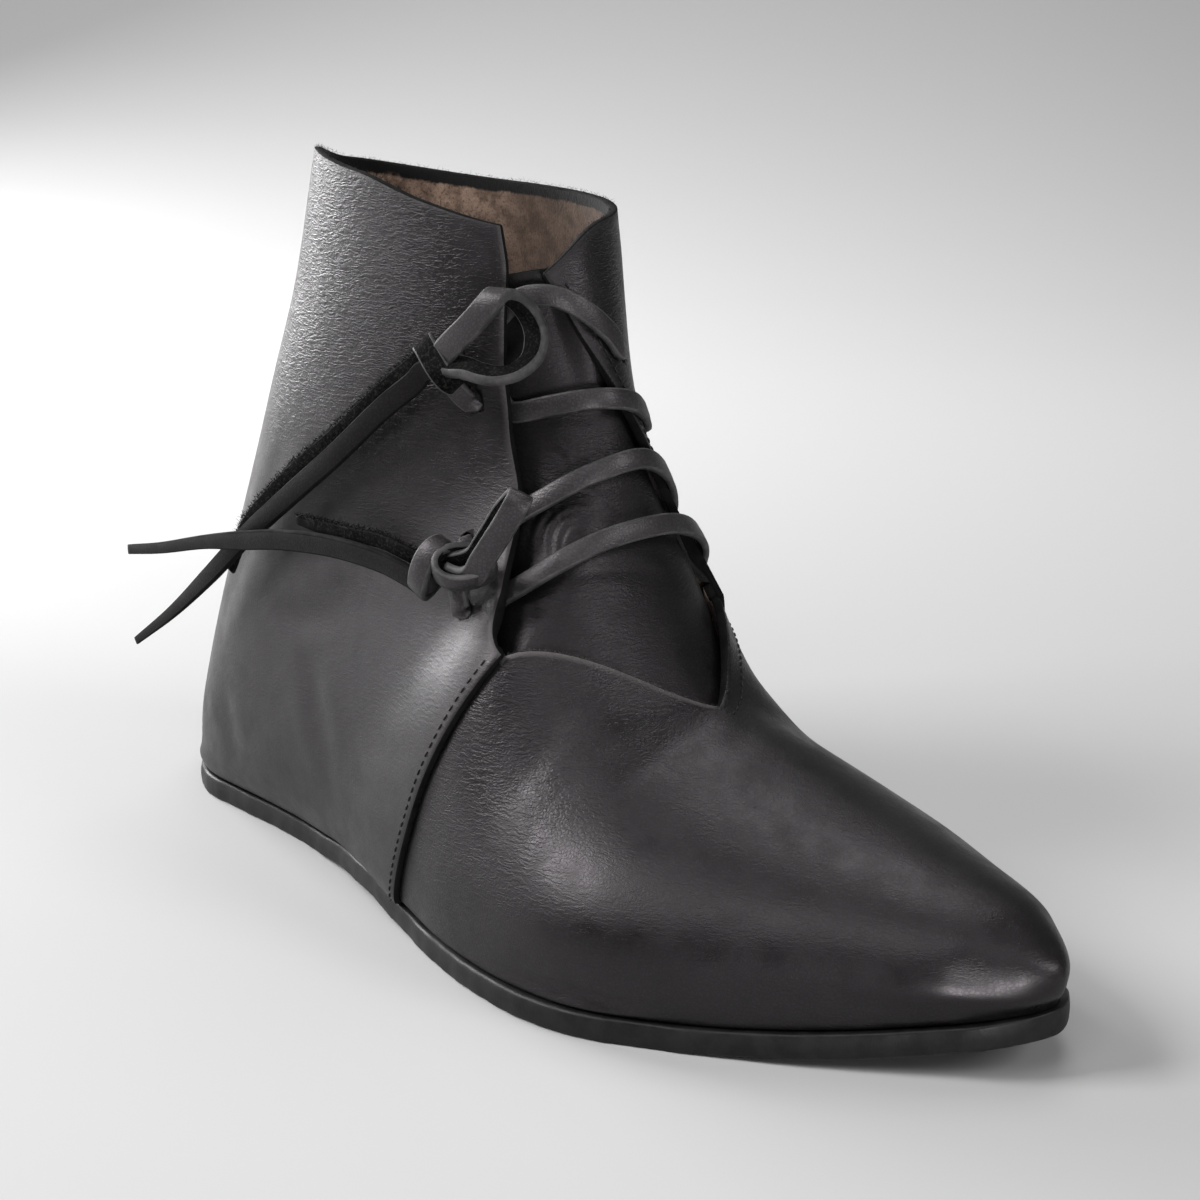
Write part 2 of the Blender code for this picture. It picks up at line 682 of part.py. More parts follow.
def band(name, material, centres, width_ways, taper=None):
    """Flat thong with bevelled edges swept along its centre points."""
    net = NetMesh()
    rings = []
    count = len(centres)
    for k, centre in enumerate(centres):
        tangent = centres[min(k + 1, count - 1)] - centres[max(k - 1, 0)]
        tangent = tangent / np.linalg.norm(tangent)
        wide = width_ways[k] - tangent * (width_ways[k] @ tangent)
        wide = wide / np.linalg.norm(wide)
        deep = np.cross(tangent, wide)
        share = taper(k / (count - 1)) if taper else 1.0
        half, thick, bevel = LACE_WIDTH / 2 * share, LACE_THICKNESS / 2 * share, LACE_BEVEL * share
        profile = [
            (half, 0.0), (half - bevel, thick), (bevel - half, thick),
            (-half, 0.0), (bevel - half, -thick), (half - bevel, -thick),
        ]
        rings.append([net.point(centre + wide * a + deep * b) for a, b in profile])
    for first, second in zip(rings, rings[1:]):
        net.strip(first + first[:1], second + second[:1])
    net.face(*rings[0])
    net.face(*rings[-1])
    return net.make(name, material)


def slot_pass(slot, heading):
    """Lace points through a slot, from outside to inside, heading to growing or falling turn."""
    scale = surface_directions(slot.row, slot.turn)[3]
    thick = WALL + quarter_step(slot.row)
    ways = ((-4.2, OVER + thick - WALL), (-1.5, 0.7 + thick - WALL), (0.0, -thick / 2), (1.5, -WALL - 0.8), (4.2, UNDER))
    return [LacePoint(slot.row, slot.turn + heading * mm / scale, lift) for mm, lift in ways]


def lace_run(first, second):
    """Lace points of one lace: in at one outer slot, over the tongue, round inside, back over, and out again."""

    def half(k):
        return slot_pass(OUTER_SLOTS[k], 1)[1:] + list(STRANDS[k]) + slot_pass(INNER_SLOTS[k], 1)

    there, back = half(first), half(second)
    one, other = there[-1], back[-1]
    turn_back = LacePoint((one.row + other.row) / 2, max(one.turn, other.turn) + 0.10, UNDER)
    return there + [turn_back] + list(reversed(back))


def build_lace(name, material, first, second):
    """Bars of one lace over the tongue, joined by its turn inside the inner quarter."""
    run = smooth_run(lace_run(first, second))
    centres = np.array([on_upper(u, turn, False, lift) for u, turn, lift in run])
    ways = []
    for k, (u, turn, lift) in enumerate(run):
        normal = upper_normal(u, turn, False)
        along = centres[min(k + 1, len(run) - 1)] - centres[max(k - 1, 0)]
        flat = along - normal * (along @ normal)
        steep = np.linalg.norm(flat) < 0.45 * np.linalg.norm(along)
        ways.append(None if steep else np.cross(normal, flat / np.linalg.norm(flat)))
    known = [k for k, way in enumerate(ways) if way is not None]
    for k, way in enumerate(ways):
        if way is None:
            before = max((i for i in known if i < k), default=known[0])
            after = min((i for i in known if i > k), default=known[-1])
            ways[k] = ways[before] + ways[after]
    return band(name, material, centres, ways)


def smooth_run(points):
    """Even steps along lace points that are given by row, turn and lift."""
    places = np.array([on_upper(p.row, p.turn, False, p.lift) for p in points])
    joined = np.hstack([places, np.array(points)])
    return smooth_route(joined, BAND_STEP)[:, 3:]


def build_knot(name, material, knot):
    """Rounded body of a knot, lying on the outer quarter."""
    net = NetMesh()
    up, across, normal, _ = surface_directions(knot.row, knot.turn)
    middle = on_upper(knot.row, knot.turn, False, knot.lift)
    sides, bands = 14, 8
    rings = []
    for i in range(bands + 1):
        lift = math.pi * i / bands
        ring = []
        for k in range(sides):
            angle = 2 * math.pi * k / sides
            flat = across * math.cos(angle) * knot.half_length + up * math.sin(angle) * knot.half_width
            ring.append(net.point(middle + flat * math.sin(lift) + normal * math.cos(lift) * knot.half_depth))
        rings.append(ring)
    for first, second in zip(rings, rings[1:]):
        net.strip(first + first[:1], second + second[:1])
    return net.make(name, material)


def build_free_band(name, material, route, width_way, step, taper=None):
    """Loop or free end along its own route."""
    centres = smooth_route(route, step)
    return band(name, material, centres, [np.array(width_way, float)] * len(centres), taper)


def pointed(share):
    """Full width up to the last third of an end, then tapering."""
    return 1.0 - 0.65 * smooth(0.6, 1.0, share)


def main():
    for old in list(bpy.data.objects):
        bpy.data.objects.remove(old)
    build_outsole(leather("sole_leather", (0.012, 0.011, 0.011), 0.6))
    build_insole(leather("insole_leather", (0.16, 0.10, 0.065), 0.8))
    cut_slots(build_upper(leather("upper_leather", (0.018, 0.017, 0.018), 0.42)))
    build_tongue(leather("tongue_leather", (0.016, 0.015, 0.016), 0.5))
    thong = leather("lace_leather", (0.02, 0.02, 0.021), 0.5)
    build_lace("upper_lace", thong, 0, 1)
    build_lace("lower_lace", thong, 2, 3)
    build_knot("upper_knot", thong, UPPER_KNOT)
    build_knot("lower_knot", thong, LOWER_KNOT)
    build_free_band("upper_loop", thong, UPPER_LOOP, TOWARDS_VIEWER, LOOP_STEP)
    build_free_band("lower_loop", thong, LOWER_LOOP, ALONG_BACK, LOOP_STEP)
    build_free_band("upper_long_end", thong, UPPER_LONG_END, UPRIGHT, FREE_STEP, pointed)
    build_free_band("upper_short_end", thong, UPPER_SHORT_END, UPRIGHT, FREE_STEP)
    build_free_band("lower_long_end", thong, LOWER_LONG_END, UPRIGHT, FREE_STEP, pointed)
    build_free_band("lower_short_end", thong, LOWER_SHORT_END, UPRIGHT, FREE_STEP, pointed)


main()
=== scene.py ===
"""Looks of a renaissance ankle boot: black leather, lapped quarters, a sewn tongue and knotted thongs.

Boot frame, in millimetres: station runs from the back of the heel to the toe, side is positive on the outer
(lateral) side and negative on the inner (medial) side, height is measured from the floor. A row number u
names a slanting section of the upper, from the nose (0) back and up to the collar (15). A turn names a place
on a section: 0 at its low end, 1 at its widest place, 2 on the ridge, and on from there down the inner side.
"""

import logging
import math
from dataclasses import dataclass, fields
from enum import Enum
from typing import Dict, List, NamedTuple, Optional, Sequence, Tuple

import bmesh
import bpy
import numpy as np
from mathutils import Euler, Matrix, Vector
from mathutils.kdtree import KDTree


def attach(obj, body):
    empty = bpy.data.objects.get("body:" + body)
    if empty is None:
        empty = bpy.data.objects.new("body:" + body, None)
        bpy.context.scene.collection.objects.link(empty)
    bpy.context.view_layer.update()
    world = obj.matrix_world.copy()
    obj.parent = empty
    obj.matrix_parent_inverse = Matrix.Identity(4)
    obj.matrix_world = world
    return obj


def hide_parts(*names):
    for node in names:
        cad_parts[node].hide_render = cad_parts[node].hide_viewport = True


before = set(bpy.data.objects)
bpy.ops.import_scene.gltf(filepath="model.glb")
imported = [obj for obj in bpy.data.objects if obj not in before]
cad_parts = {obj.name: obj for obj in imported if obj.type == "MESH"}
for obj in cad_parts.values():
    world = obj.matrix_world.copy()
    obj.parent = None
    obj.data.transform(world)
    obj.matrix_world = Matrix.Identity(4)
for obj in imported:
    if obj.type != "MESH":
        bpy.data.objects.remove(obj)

LOG = logging.getLogger("boot")
MM = 0.001
BODY = "root"
Array = np.ndarray
Triple = Tuple[float, float, float]
Colour = Triple
Rows = Tuple[float, float, float, float]
Node = bpy.types.Node
Socket = bpy.types.NodeSocket
Tree = bpy.types.NodeTree
Material = bpy.types.Material
Piece = bpy.types.Object


class Face(Enum):
    """Side of a piece of leather; the value is its material slot."""

    GRAIN = 0
    FLESH = 1
    EDGE = 2


class SoleRow(NamedTuple):
    """Middle line and half width of the sole at a station."""

    station: float
    axis: float
    half_width: float


class UpperRow(NamedTuple):
    """One slanting section of the upper, as in the solid model."""

    low_station: float
    low_rise: float
    top_station: float
    top_height: float
    ridge: float
    lateral: float
    medial: float
    edge_lateral: float
    edge_medial: float
    swell: float
    low_round: float
    top_round: float


class CollarRow(NamedTuple):
    """How far the collar dips below the top section, in rows, at a share of the way to the slit."""

    share: float
    lateral: float
    medial: float


class Slot(NamedTuple):
    """Place of a lace slot."""

    row: float
    turn: float


class LacePoint(NamedTuple):
    """Place of a lace over the upper, with its lift over the outer face."""

    row: float
    turn: float
    lift: float


class Crease(NamedTuple):
    """Soft trough or ridge along places (row, turn) of the upper."""

    places: Tuple[Tuple[float, float], ...]
    width: float
    depth: float


class ThongPoint(NamedTuple):
    """Point of a free end: lean, in degrees, tips its width from upright; share is of the full section."""

    station: float
    side: float
    height: float
    lean: float
    share: float


class LoopPoint(NamedTuple):
    """Point of a loop in the boot frame, with the direction of its width."""

    place: Triple
    way: Triple


SOLE_ROWS = (
    SoleRow(0.0, 0.0, 30.5),
    SoleRow(31.0, 0.0, 31.5),
    SoleRow(66.0, 1.0, 32.0),
    SoleRow(88.0, 4.3, 32.8),
    SoleRow(111.0, 8.5, 35.8),
    SoleRow(136.0, 11.2, 40.4),
    SoleRow(162.0, 11.9, 47.0),
    SoleRow(184.0, 11.2, 50.8),
    SoleRow(197.0, 10.0, 51.5),
    SoleRow(209.0, 8.0, 50.0),
    SoleRow(223.0, 5.0, 45.5),
    SoleRow(240.0, 2.0, 38.5),
    SoleRow(259.0, -1.0, 29.0),
    SoleRow(276.0, -3.5, 19.0),
    SoleRow(290.0, -4.0, 11.5),
)

UPPER_ROWS = (
    UpperRow(288.0, 0.0, 287.0, 28.0, -4.0, -4.0, -4.0, -4.0, -4.0, 0.45, 2.0, 2.0),
    UpperRow(277.0, 0.0, 276.0, 34.5, -4.0, 14.0, -21.0, 5.0, -12.0, 0.40, 2.2, 2.0),
    UpperRow(257.0, 0.0, 255.0, 40.5, -3.0, 29.0, -31.0, 13.0, -18.0, 0.36, 2.3, 1.9),
    UpperRow(230.0, 0.0, 230.0, 47.0, -2.0, 47.0, -40.0, 22.0, -23.0, 0.32, 2.3, 1.85),
    UpperRow(202.0, 0.0, 209.0, 54.5, 0.0, 61.5, -42.0, 30.0, -25.0, 0.28, 2.3, 1.8),
    UpperRow(167.0, 0.0, 193.5, 61.0, 1.0, 60.5, -40.0, 34.5, -28.0, 0.28, 2.2, 1.8),
    UpperRow(134.0, 0.0, 170.5, 93.0, 1.0, 54.0, -40.0, 41.0, -30.0, 0.34, 2.1, 2.1),
    UpperRow(90.0, 0.0, 166.0, 105.0, 1.0, 46.0, -40.0, 32.5, -22.5, 0.38, 2.0, 2.05),
    UpperRow(48.0, 0.0, 163.0, 114.0, 1.0, 41.0, -39.5, 25.0, -14.0, 0.40, 2.0, 2.0),
    UpperRow(16.0, 0.0, 159.5, 122.0, 1.0, 38.0, -39.0, 21.5, -8.0, 0.42, 2.1, 2.0),
    UpperRow(2.0, 0.0, 157.0, 129.0, 1.0, 36.5, -38.5, 20.5, -2.5, 0.43, 2.3, 2.0),
    UpperRow(-1.0, 15.0, 155.0, 136.0, 1.0, 35.5, -38.0, 20.0, 2.0, 0.44, 2.2, 2.0),
    UpperRow(12.0, 50.0, 153.0, 144.0, 1.0, 33.5, -37.0, 19.5, 6.0, 0.46, 2.0, 2.0),
    UpperRow(27.0, 92.0, 151.0, 153.0, 1.0, 32.0, -36.0, 19.0, 9.5, 0.48, 2.0, 2.0),
    UpperRow(45.0, 136.0, 148.5, 163.0, 1.0, 30.0, -34.0, 18.0, 13.0, 0.50, 2.0, 2.0),
    UpperRow(56.0, 178.0, 146.0, 174.0, 0.0, 28.0, -32.0, 18.0, 14.5, 0.50, 2.0, 2.0),
)

COLLAR_ROWS = (
    CollarRow(0.0, 0.16, 0.16),
    CollarRow(0.35, 0.02, 0.30),
    CollarRow(0.60, 0.02, 0.32),
    CollarRow(0.80, 0.16, 0.42),
    CollarRow(1.0, 0.40, 1.35),
)

OUTER_SLOTS = (Slot(12.6, 1.47), Slot(11.7, 1.53), Slot(8.3, 1.47), Slot(7.2, 1.40))
INNER_SLOTS = (Slot(11.5, 2.13), Slot(9.6, 2.30), Slot(7.7, 2.46), Slot(6.7, 2.60))


def soft_step(low: float, high: float, x: Array) -> Array:
    """Soft step from 0 at low to 1 at high.

    Args:
        low: where the step starts.
        high: where it ends.
        x: places to read it at.

    Returns:
        Values from 0 to 1.
    """
    t = np.clip((np.asarray(x, float) - low) / (high - low), 0.0, 1.0)
    return t * t * (3 - 2 * t)


def window(rows: Rows, x: Array) -> Array:
    """Soft rise from 0 to 1 over the first two of four places, and fall back to 0 over the last two."""
    start, full, fall, end = rows
    return soft_step(start, full, x) * (1 - soft_step(fall, end, x))


def unit(vectors: Array) -> Array:
    """Vectors scaled to length one."""
    return vectors / np.maximum(np.linalg.norm(vectors, axis=-1, keepdims=True), 1e-12)


def in_step(u: Array, turn: Array, inner: Array) -> Tuple[Array, Array, Array]:
    """Row numbers, turns and sides as arrays of one shape."""
    return np.broadcast_arrays(np.asarray(u, float), np.asarray(turn, float), np.asarray(inner, bool))


class TableCurve:
    """Smooth curve through the rows of a table column that never overshoots them."""

    def __init__(self, xs: Sequence[float], ys: Sequence[float], flat_start: bool = False) -> None:
        """Works out the slopes.

        Args:
            xs: growing places of the rows.
            ys: the column's values.
            flat_start: whether the curve starts level.
        """
        self.xs = np.asarray(xs, float)
        self.ys = np.asarray(ys, float)
        steps = np.diff(self.xs)
        secants = np.diff(self.ys) / steps
        slopes = np.zeros(len(self.xs))
        for i in range(1, len(self.xs) - 1):
            before, after = secants[i - 1], secants[i]
            if before * after > 0:
                low = 2 * steps[i] + steps[i - 1]
                high = steps[i] + 2 * steps[i - 1]
                slopes[i] = (low + high) / (low / before + high / after)
        slopes[0] = 0.0 if flat_start else secants[0]
        slopes[-1] = secants[-1]
        self.slopes = slopes

    def at(self, x: Array) -> Array:
        """Values of the curve at places x, held at its ends.

        Args:
            x: places on the table's axis.

        Returns:
            The values.
        """
        x = np.clip(np.asarray(x, float), self.xs[0], self.xs[-1])
        i = np.clip(np.searchsorted(self.xs, x, side="right") - 1, 0, len(self.xs) - 2)
        step = self.xs[i + 1] - self.xs[i]
        t = (x - self.xs[i]) / step
        start = self.ys[i] * (1 + 2 * t) * (1 - t) ** 2 + self.slopes[i] * step * t * (1 - t) ** 2
        end = self.ys[i + 1] * t * t * (3 - 2 * t) + self.slopes[i + 1] * step * t * t * (t - 1)
        return start + end


@dataclass
class BootForm:
    """Shape of the boot's last and leather, with the sizes of the solid model, in millimetres."""

    sole_length: float = 290.0
    sole_thickness: float = 6.0
    heel_end_radius: float = 31.0
    toe_end_radius: float = 13.0
    heel_flat_end: float = 72.0
    forefoot_flat: Tuple[float, float] = (150.0, 222.0)
    arch_lift: float = 2.4
    toe_spring: float = 9.5
    feather_inset: float = 2.0
    fit_gap: float = 0.3
    wall: float = 2.2
    seam_step: float = 1.7
    side_centre: float = 9.6
    notch_row: float = 5.0
    seam_row: float = 6.0
    heel_corner_row: float = 10.0
    collar_row: float = 15.0
    nose_bow: float = 3.4
    low_tilt: float = 0.15
    dip_rows: float = 3.0
    soft_rows: Rows = (7.0, 8.5, 13.0, 14.6)
    soft_spread: float = 1.3
    ball_rows: Rows = (2.0, 3.6, 4.8, 6.2)
    ball_spread: float = 0.9
    ball_turns: Tuple[float, float] = (1.5, 1.95)
    low_turns: Tuple[float, float] = (0.0, 0.6)
    soft_taps: int = 13
    normal_step: float = 0.04
    step_fade: float = 1.3
    throat_bend: float = 1.2

    def __post_init__(self) -> None:
        """Makes the curves of the tables."""
        stations = [row.station for row in SOLE_ROWS]
        self.sole_axis = TableCurve(stations, [row.axis for row in SOLE_ROWS])
        self.sole_half = TableCurve(stations, [row.half_width for row in SOLE_ROWS])
        level = ("low_station", "top_station", "top_height")
        numbers = range(len(UPPER_ROWS))
        self.columns = {
            name: TableCurve(numbers, [getattr(row, name) for row in UPPER_ROWS], name in level)
            for name in UpperRow._fields
        }
        shares = [row.share for row in COLLAR_ROWS]
        self.collar_outer = TableCurve(shares, [row.lateral for row in COLLAR_ROWS])
        self.collar_inner = TableCurve(shares, [row.medial for row in COLLAR_ROWS])

    def world(self, points: Array) -> Array:
        """Boot frame in millimetres to world in metres.

        Args:
            points: points in the boot frame.

        Returns:
            The points in the world.
        """
        points = np.asarray(points, float)
        x = self.side_centre - points[..., 1]
        y = self.sole_length / 2 - points[..., 0]
        return np.stack([x, y, points[..., 2]], axis=-1) * MM

    def sole_edge(self, station: Array, inner: Array, inset: float = 0.0) -> Array:
        """Side of the sole's edge.

        Args:
            station: places along the sole.
            inner: whether the inner edge is asked for.
            inset: how far the outline is drawn in.

        Returns:
            The edge's side, in millimetres.
        """
        full = np.clip((station - inset) / (self.sole_length - 2 * inset), 0, 1) * self.sole_length
        heel = np.clip(1 - full / self.heel_end_radius, 0, 1)
        toe = np.clip((full - self.sole_length) / self.toe_end_radius + 1, 0, 1)
        half = (self.sole_half.at(full) - inset) * np.sqrt(1 - heel ** 2) * np.sqrt(1 - toe ** 2)
        return self.sole_axis.at(full) + np.where(inner, -half, half)

    def sole_bottom(self, station: Array) -> Array:
        """Height of the sole's underside: flat heel and forefoot, low arch, toe spring.

        Args:
            station: stations along the sole.

        Returns:
            The heights.
        """
        start, end = self.forefoot_flat
        arch = np.clip((station - self.heel_flat_end) / (start - self.heel_flat_end), 0, 1)
        toe = np.clip((station - end) / (self.sole_length - end), 0, 1)
        return self.arch_lift * np.sin(np.pi * arch) ** 2 + self.toe_spring * toe ** 1.8

    def sole_top(self, station: Array) -> Array:
        """Height of the sole's upper face."""
        return self.sole_bottom(station) + self.sole_thickness

    def row(self, u: Array) -> UpperRow:
        """Section values at row numbers u."""
        return UpperRow(*(self.columns[name].at(u) for name in UpperRow._fields))

    def slit_turn(self, u: Array, inner: Array) -> Array:
        """Turn of the front slit's edge; over 2 where the inner edge passes the ridge.

        Args:
            u: row numbers.
            inner: whether on the inner side.

        Returns:
            The turns.
        """
        row = self.row(u)
        edge = np.where(inner, row.edge_medial, row.edge_lateral)
        passed = np.logical_and(inner, edge > row.ridge)
        wide = np.where(np.logical_and(inner, np.logical_not(passed)), row.medial, row.lateral)
        span = wide - row.ridge
        flat = np.abs(span) < 1e-9
        share = np.clip((edge - row.ridge) / np.where(flat, 1.0, span), 0, 1)
        turn = 1 + np.arccos(share ** (row.top_round / 2)) * 2 / np.pi
        turn = np.where(flat, 1.5, turn)
        return np.where(passed, 4 - turn, turn)

    def section(self, u: Array, turn: Array, inner: Array) -> Array:
        """Points of the sections themselves, for turns up to 2.

        Args:
            u: row numbers.
            turn: turns.
            inner: whether on the inner side.

        Returns:
            Points in the boot frame.
        """
        row = self.row(u)
        wide = np.where(inner, row.medial, row.lateral)
        on_sole = self.sole_edge(row.low_station, inner, self.feather_inset)
        low = np.where(row.low_rise > 0, 0.0, on_sole)
        below = turn <= 1
        angle = np.where(below, turn, turn - 1) * np.pi / 2
        cos = np.clip(np.cos(angle), 0, 1)
        sin = np.clip(np.sin(angle), 0, 1)
        low_power = 2 / row.low_round
        top_power = 2 / row.top_round
        low_along = row.swell * (1 - cos ** low_power)
        top_along = row.swell + (1 - row.swell) * sin ** top_power
        along = np.where(below, low_along, top_along)
        low_side = low + (wide - low) * sin ** low_power
        top_side = row.ridge + (wide - row.ridge) * cos ** top_power
        side = np.where(below, low_side, top_side)
        low_height = self.sole_top(row.low_station) + self.fit_gap + row.low_rise
        station = row.low_station + (row.top_station - row.low_station) * along
        height = low_height + (row.top_height - low_height) * along
        to_one = 27 / 4
        bow = to_one * along ** 2 * (1 - along) * np.clip(1 - u * u, 0, 1) ** 2
        return np.stack(np.broadcast_arrays(station + self.nose_bow * bow, side, height), axis=-1)

    def point(self, u: Array, turn: Array, inner: Array) -> Array:
        """Points on the outer face of the upper, softened round the heel and over the ball.

        Args:
            u: row numbers.
            turn: turns.
            inner: whether on the inner side.

        Returns:
            Points in the boot frame.
        """
        u, turn, inner = in_step(u, turn, inner)
        past = turn > 2
        turn = np.where(past, 4 - turn, turn)
        inner = np.where(past, np.logical_not(inner), inner)
        heel = window(self.soft_rows, u)
        ball = window(self.ball_rows, u) * (1 - soft_step(*self.ball_turns, turn))
        spread = (self.soft_spread * heel + self.ball_spread * ball) * soft_step(*self.low_turns, turn)
        ways = np.linspace(-1.0, 1.0, self.soft_taps)
        weights = 1 - 0.5 * ways ** 2
        total = 0
        for way, weight in zip(ways, weights):
            total = total + weight * self.section(u + spread * way, turn, inner)
        return total / weights.sum()

    def normal(self, u: Array, turn: Array, inner: Array) -> Array:
        """Outward directions at points of the upper.

        Args:
            u: row numbers.
            turn: turns.
            inner: whether on the inner side.

        Returns:
            Vectors of length one in the boot frame.
        """
        u, turn, inner = in_step(u, turn, inner)
        step = self.normal_step
        shared = (u <= 0) | (turn <= 0)
        inside = np.logical_and(inner, np.logical_not(shared))
        uu = np.clip(u, 2 * step, self.collar_row - step)
        tt = np.maximum(turn, 2 * step)
        across = self.point(uu, tt + step, inside) - self.point(uu, tt - step, inside)
        along = self.point(uu + step, tt, inside) - self.point(uu - step, tt, inside)
        normal = np.cross(along, across) * np.where(inside, -1.0, 1.0)[..., None]
        normal[..., 1] = np.where(shared, 0.0, normal[..., 1])
        normal = unit(normal)
        normal[..., 2] = np.maximum(normal[..., 2], -self.low_tilt)
        normal = unit(normal)
        ahead = self.point(np.maximum(u - step, 0), 0 * u, inner)
        behind = self.point(np.minimum(u + step, self.heel_corner_row), 0 * u, inner)
        line = ahead - behind
        outward = np.where(inner, -1.0, 1.0)[..., None]
        feather = np.stack([-line[..., 1], line[..., 0], 0 * u], axis=-1) * outward
        feather = np.where((u <= 0)[..., None], np.array((1.0, 0.0, 0.0)), unit(feather))
        feather = np.where((u >= self.heel_corner_row)[..., None], np.array((-1.0, 0.0, 0.0)), feather)
        on_feather = (turn <= 0) & (u <= self.heel_corner_row)
        return np.where(on_feather[..., None], feather, normal)

    def lifted(self, u: Array, turn: Array, inner: Array, offset: Array) -> Array:
        """Points at a distance from the outer face, outwards positive, and never inside the sole.

        Args:
            u: row numbers.
            turn: turns.
            inner: whether on the inner side.
            offset: distances from the outer face.

        Returns:
            Points in the boot frame.
        """
        made = self.point(u, turn, inner) + self.normal(u, turn, inner) * np.asarray(offset, float)[..., None]
        made[..., 2] = np.maximum(made[..., 2], self.sole_top(made[..., 0]) + self.fit_gap)
        return made

    def quarter_step(self, u: Array) -> Array:
        """How far the quarter stands out over the vamp behind the side seam."""
        return self.seam_step * (1 - soft_step(self.seam_row, self.seam_row + self.step_fade, u))

    def quarter_places(self, u: Array, share: Array, inner: Array) -> Tuple[Array, Array]:
        """Row numbers and turns of quarter points, with the dip of the collar.

        Args:
            u: row numbers of the net.
            share: shares of the way from the low end to the slit.
            inner: side of the boot.

        Returns:
            Row numbers and turns.
        """
        dip = np.where(inner, self.collar_inner.at(share), self.collar_outer.at(share))
        reach = np.clip(u - self.collar_row + self.dip_rows, 0, None) / self.dip_rows
        u = u - dip * reach
        return u, self.slit_turn(u, inner) * share

    def vamp_places(self, u: Array, over: Array, inner: Array) -> Tuple[Array, Array]:
        """Row numbers and turns of vamp points between the slit's line (over 0) and the ridge (over 1).

        Args:
            u: row numbers.
            over: shares of the way from the slit's line to the ridge.
            inner: whether on the inner side.

        Returns:
            Row numbers and turns.
        """
        drop = (self.seam_row - self.notch_row) * (1 - (1 - over) ** self.throat_bend)
        u = u - drop * soft_step(self.notch_row - 2, self.seam_row, u)
        edge = self.slit_turn(u, inner)
        return u, edge + (2 - edge) * over


FORM = BootForm()


class MeshDraft:
    """Collects points in the boot frame, faces, and the leather side of each face."""

    MERGE = 2e-6
    SLIVER = 1e-6
    CORNER_SIDES = 24

    def __init__(self) -> None:
        """Starts empty."""
        self.points: List[Array] = []
        self.count = 0
        self.faces: List[Tuple[int, ...]] = []
        self.sides: List[int] = []
        self.marks: Dict[str, List[Array]] = {"wrinkle": [], "rim": [], "bleed": [], "wear": []}

    def add(self, points: Array, **marks: Array) -> Array:
        """Adds points, with values of the point attributes, and returns their indices in the same layout.

        Args:
            points: the points, in any layout.
            **marks: values by name of the attribute.

        Returns:
            The indices.
        """
        flat = np.asarray(points, float).reshape(-1, 3)
        index = np.arange(self.count, self.count + len(flat)).reshape(np.asarray(points).shape[:-1])
        self.points.append(flat)
        for name, values in self.marks.items():
            given = np.asarray(marks.get(name, 0.0), float)
            values.append(np.broadcast_to(given, index.shape).reshape(-1))
        self.count += len(flat)
        return index

    def grid(self, index: Array, side: Face) -> None:
        """Fills a grid of indices with faces.

        Args:
            index: rows of indices.
            side: side of the leather that the faces show.
        """
        a, b, c, d = index[:-1, :-1], index[1:, :-1], index[1:, 1:], index[:-1, 1:]
        quads = np.stack([a, b, c, d], axis=-1).reshape(-1, 4)
        self.faces += [tuple(int(k) for k in quad) for quad in quads]
        self.sides += [side.value] * len(quads)

    def strip(self, first: Array, second: Array, side: Face) -> None:
        """Joins two rows of indices with faces."""
        self.grid(np.stack([np.asarray(first), np.asarray(second)]), side)

    def cap(self, ring: Array, side: Face) -> None:
        """Closes a ring of indices with one face."""
        self.faces.append(tuple(int(k) for k in ring))
        self.sides.append(side.value)

    def build(self, name: str, materials: Sequence[Material]) -> Piece:
        """Makes the object, with doubles merged, corners between cut edges closed and faces turned outwards.

        Args:
            name: name of the piece.
            materials: materials by leather side.

        Returns:
            The new object, at the origin.
        """
        mesh = bpy.data.meshes.new(name)
        places = FORM.world(np.concatenate(self.points))
        mesh.from_pydata([tuple(place) for place in places], [], self.faces)
        for material in materials:
            mesh.materials.append(material)
        mesh.polygons.foreach_set("material_index", np.minimum(self.sides, len(materials) - 1))
        for mark, values in self.marks.items():
            layer = mesh.attributes.new(mark, "FLOAT", "POINT")
            layer.data.foreach_set("value", np.concatenate(values))
        net = bmesh.new()
        net.from_mesh(mesh)
        bmesh.ops.remove_doubles(net, verts=net.verts, dist=self.MERGE)
        bmesh.ops.dissolve_degenerate(net, edges=net.edges, dist=self.SLIVER)
        open_edges = [edge for edge in net.edges if edge.is_boundary]
        corners = bmesh.ops.holes_fill(net, edges=open_edges, sides=self.CORNER_SIDES)
        for face in corners["faces"]:
            face.material_index = min(Face.EDGE.value, len(materials) - 1)
        bmesh.ops.recalc_face_normals(net, faces=net.faces)
        net.to_mesh(mesh)
        net.free()
        mesh.shade_smooth()
        piece = bpy.data.objects.new(name, mesh)
        bpy.context.scene.collection.objects.link(piece)
        return piece


def applied(piece: Piece) -> Piece:
    """Turns a piece with modifiers into a plain mesh.

    Args:
        piece: object whose modifiers are used up.

    Returns:
        The same object.
    """
    graph = bpy.context.evaluated_depsgraph_get()
    made = bpy.data.meshes.new_from_object(
        piece.evaluated_get(graph), preserve_all_data_layers=True, depsgraph=graph
    )
    made.name = piece.name
    piece.modifiers.clear()
    piece.data = made
    return piece


def finished(piece: Piece, nodes: Sequence[str]) -> Piece:
    """Puts a piece on the boot in place of its solids.

    Args:
        piece: finished object.
        nodes: solids that it stands for.

    Returns:
        The same object.
    """
    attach(piece, BODY)
    if nodes:
        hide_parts(*nodes)
    LOG.info("%s: %d faces", piece.name, len(piece.data.polygons))
    return piece


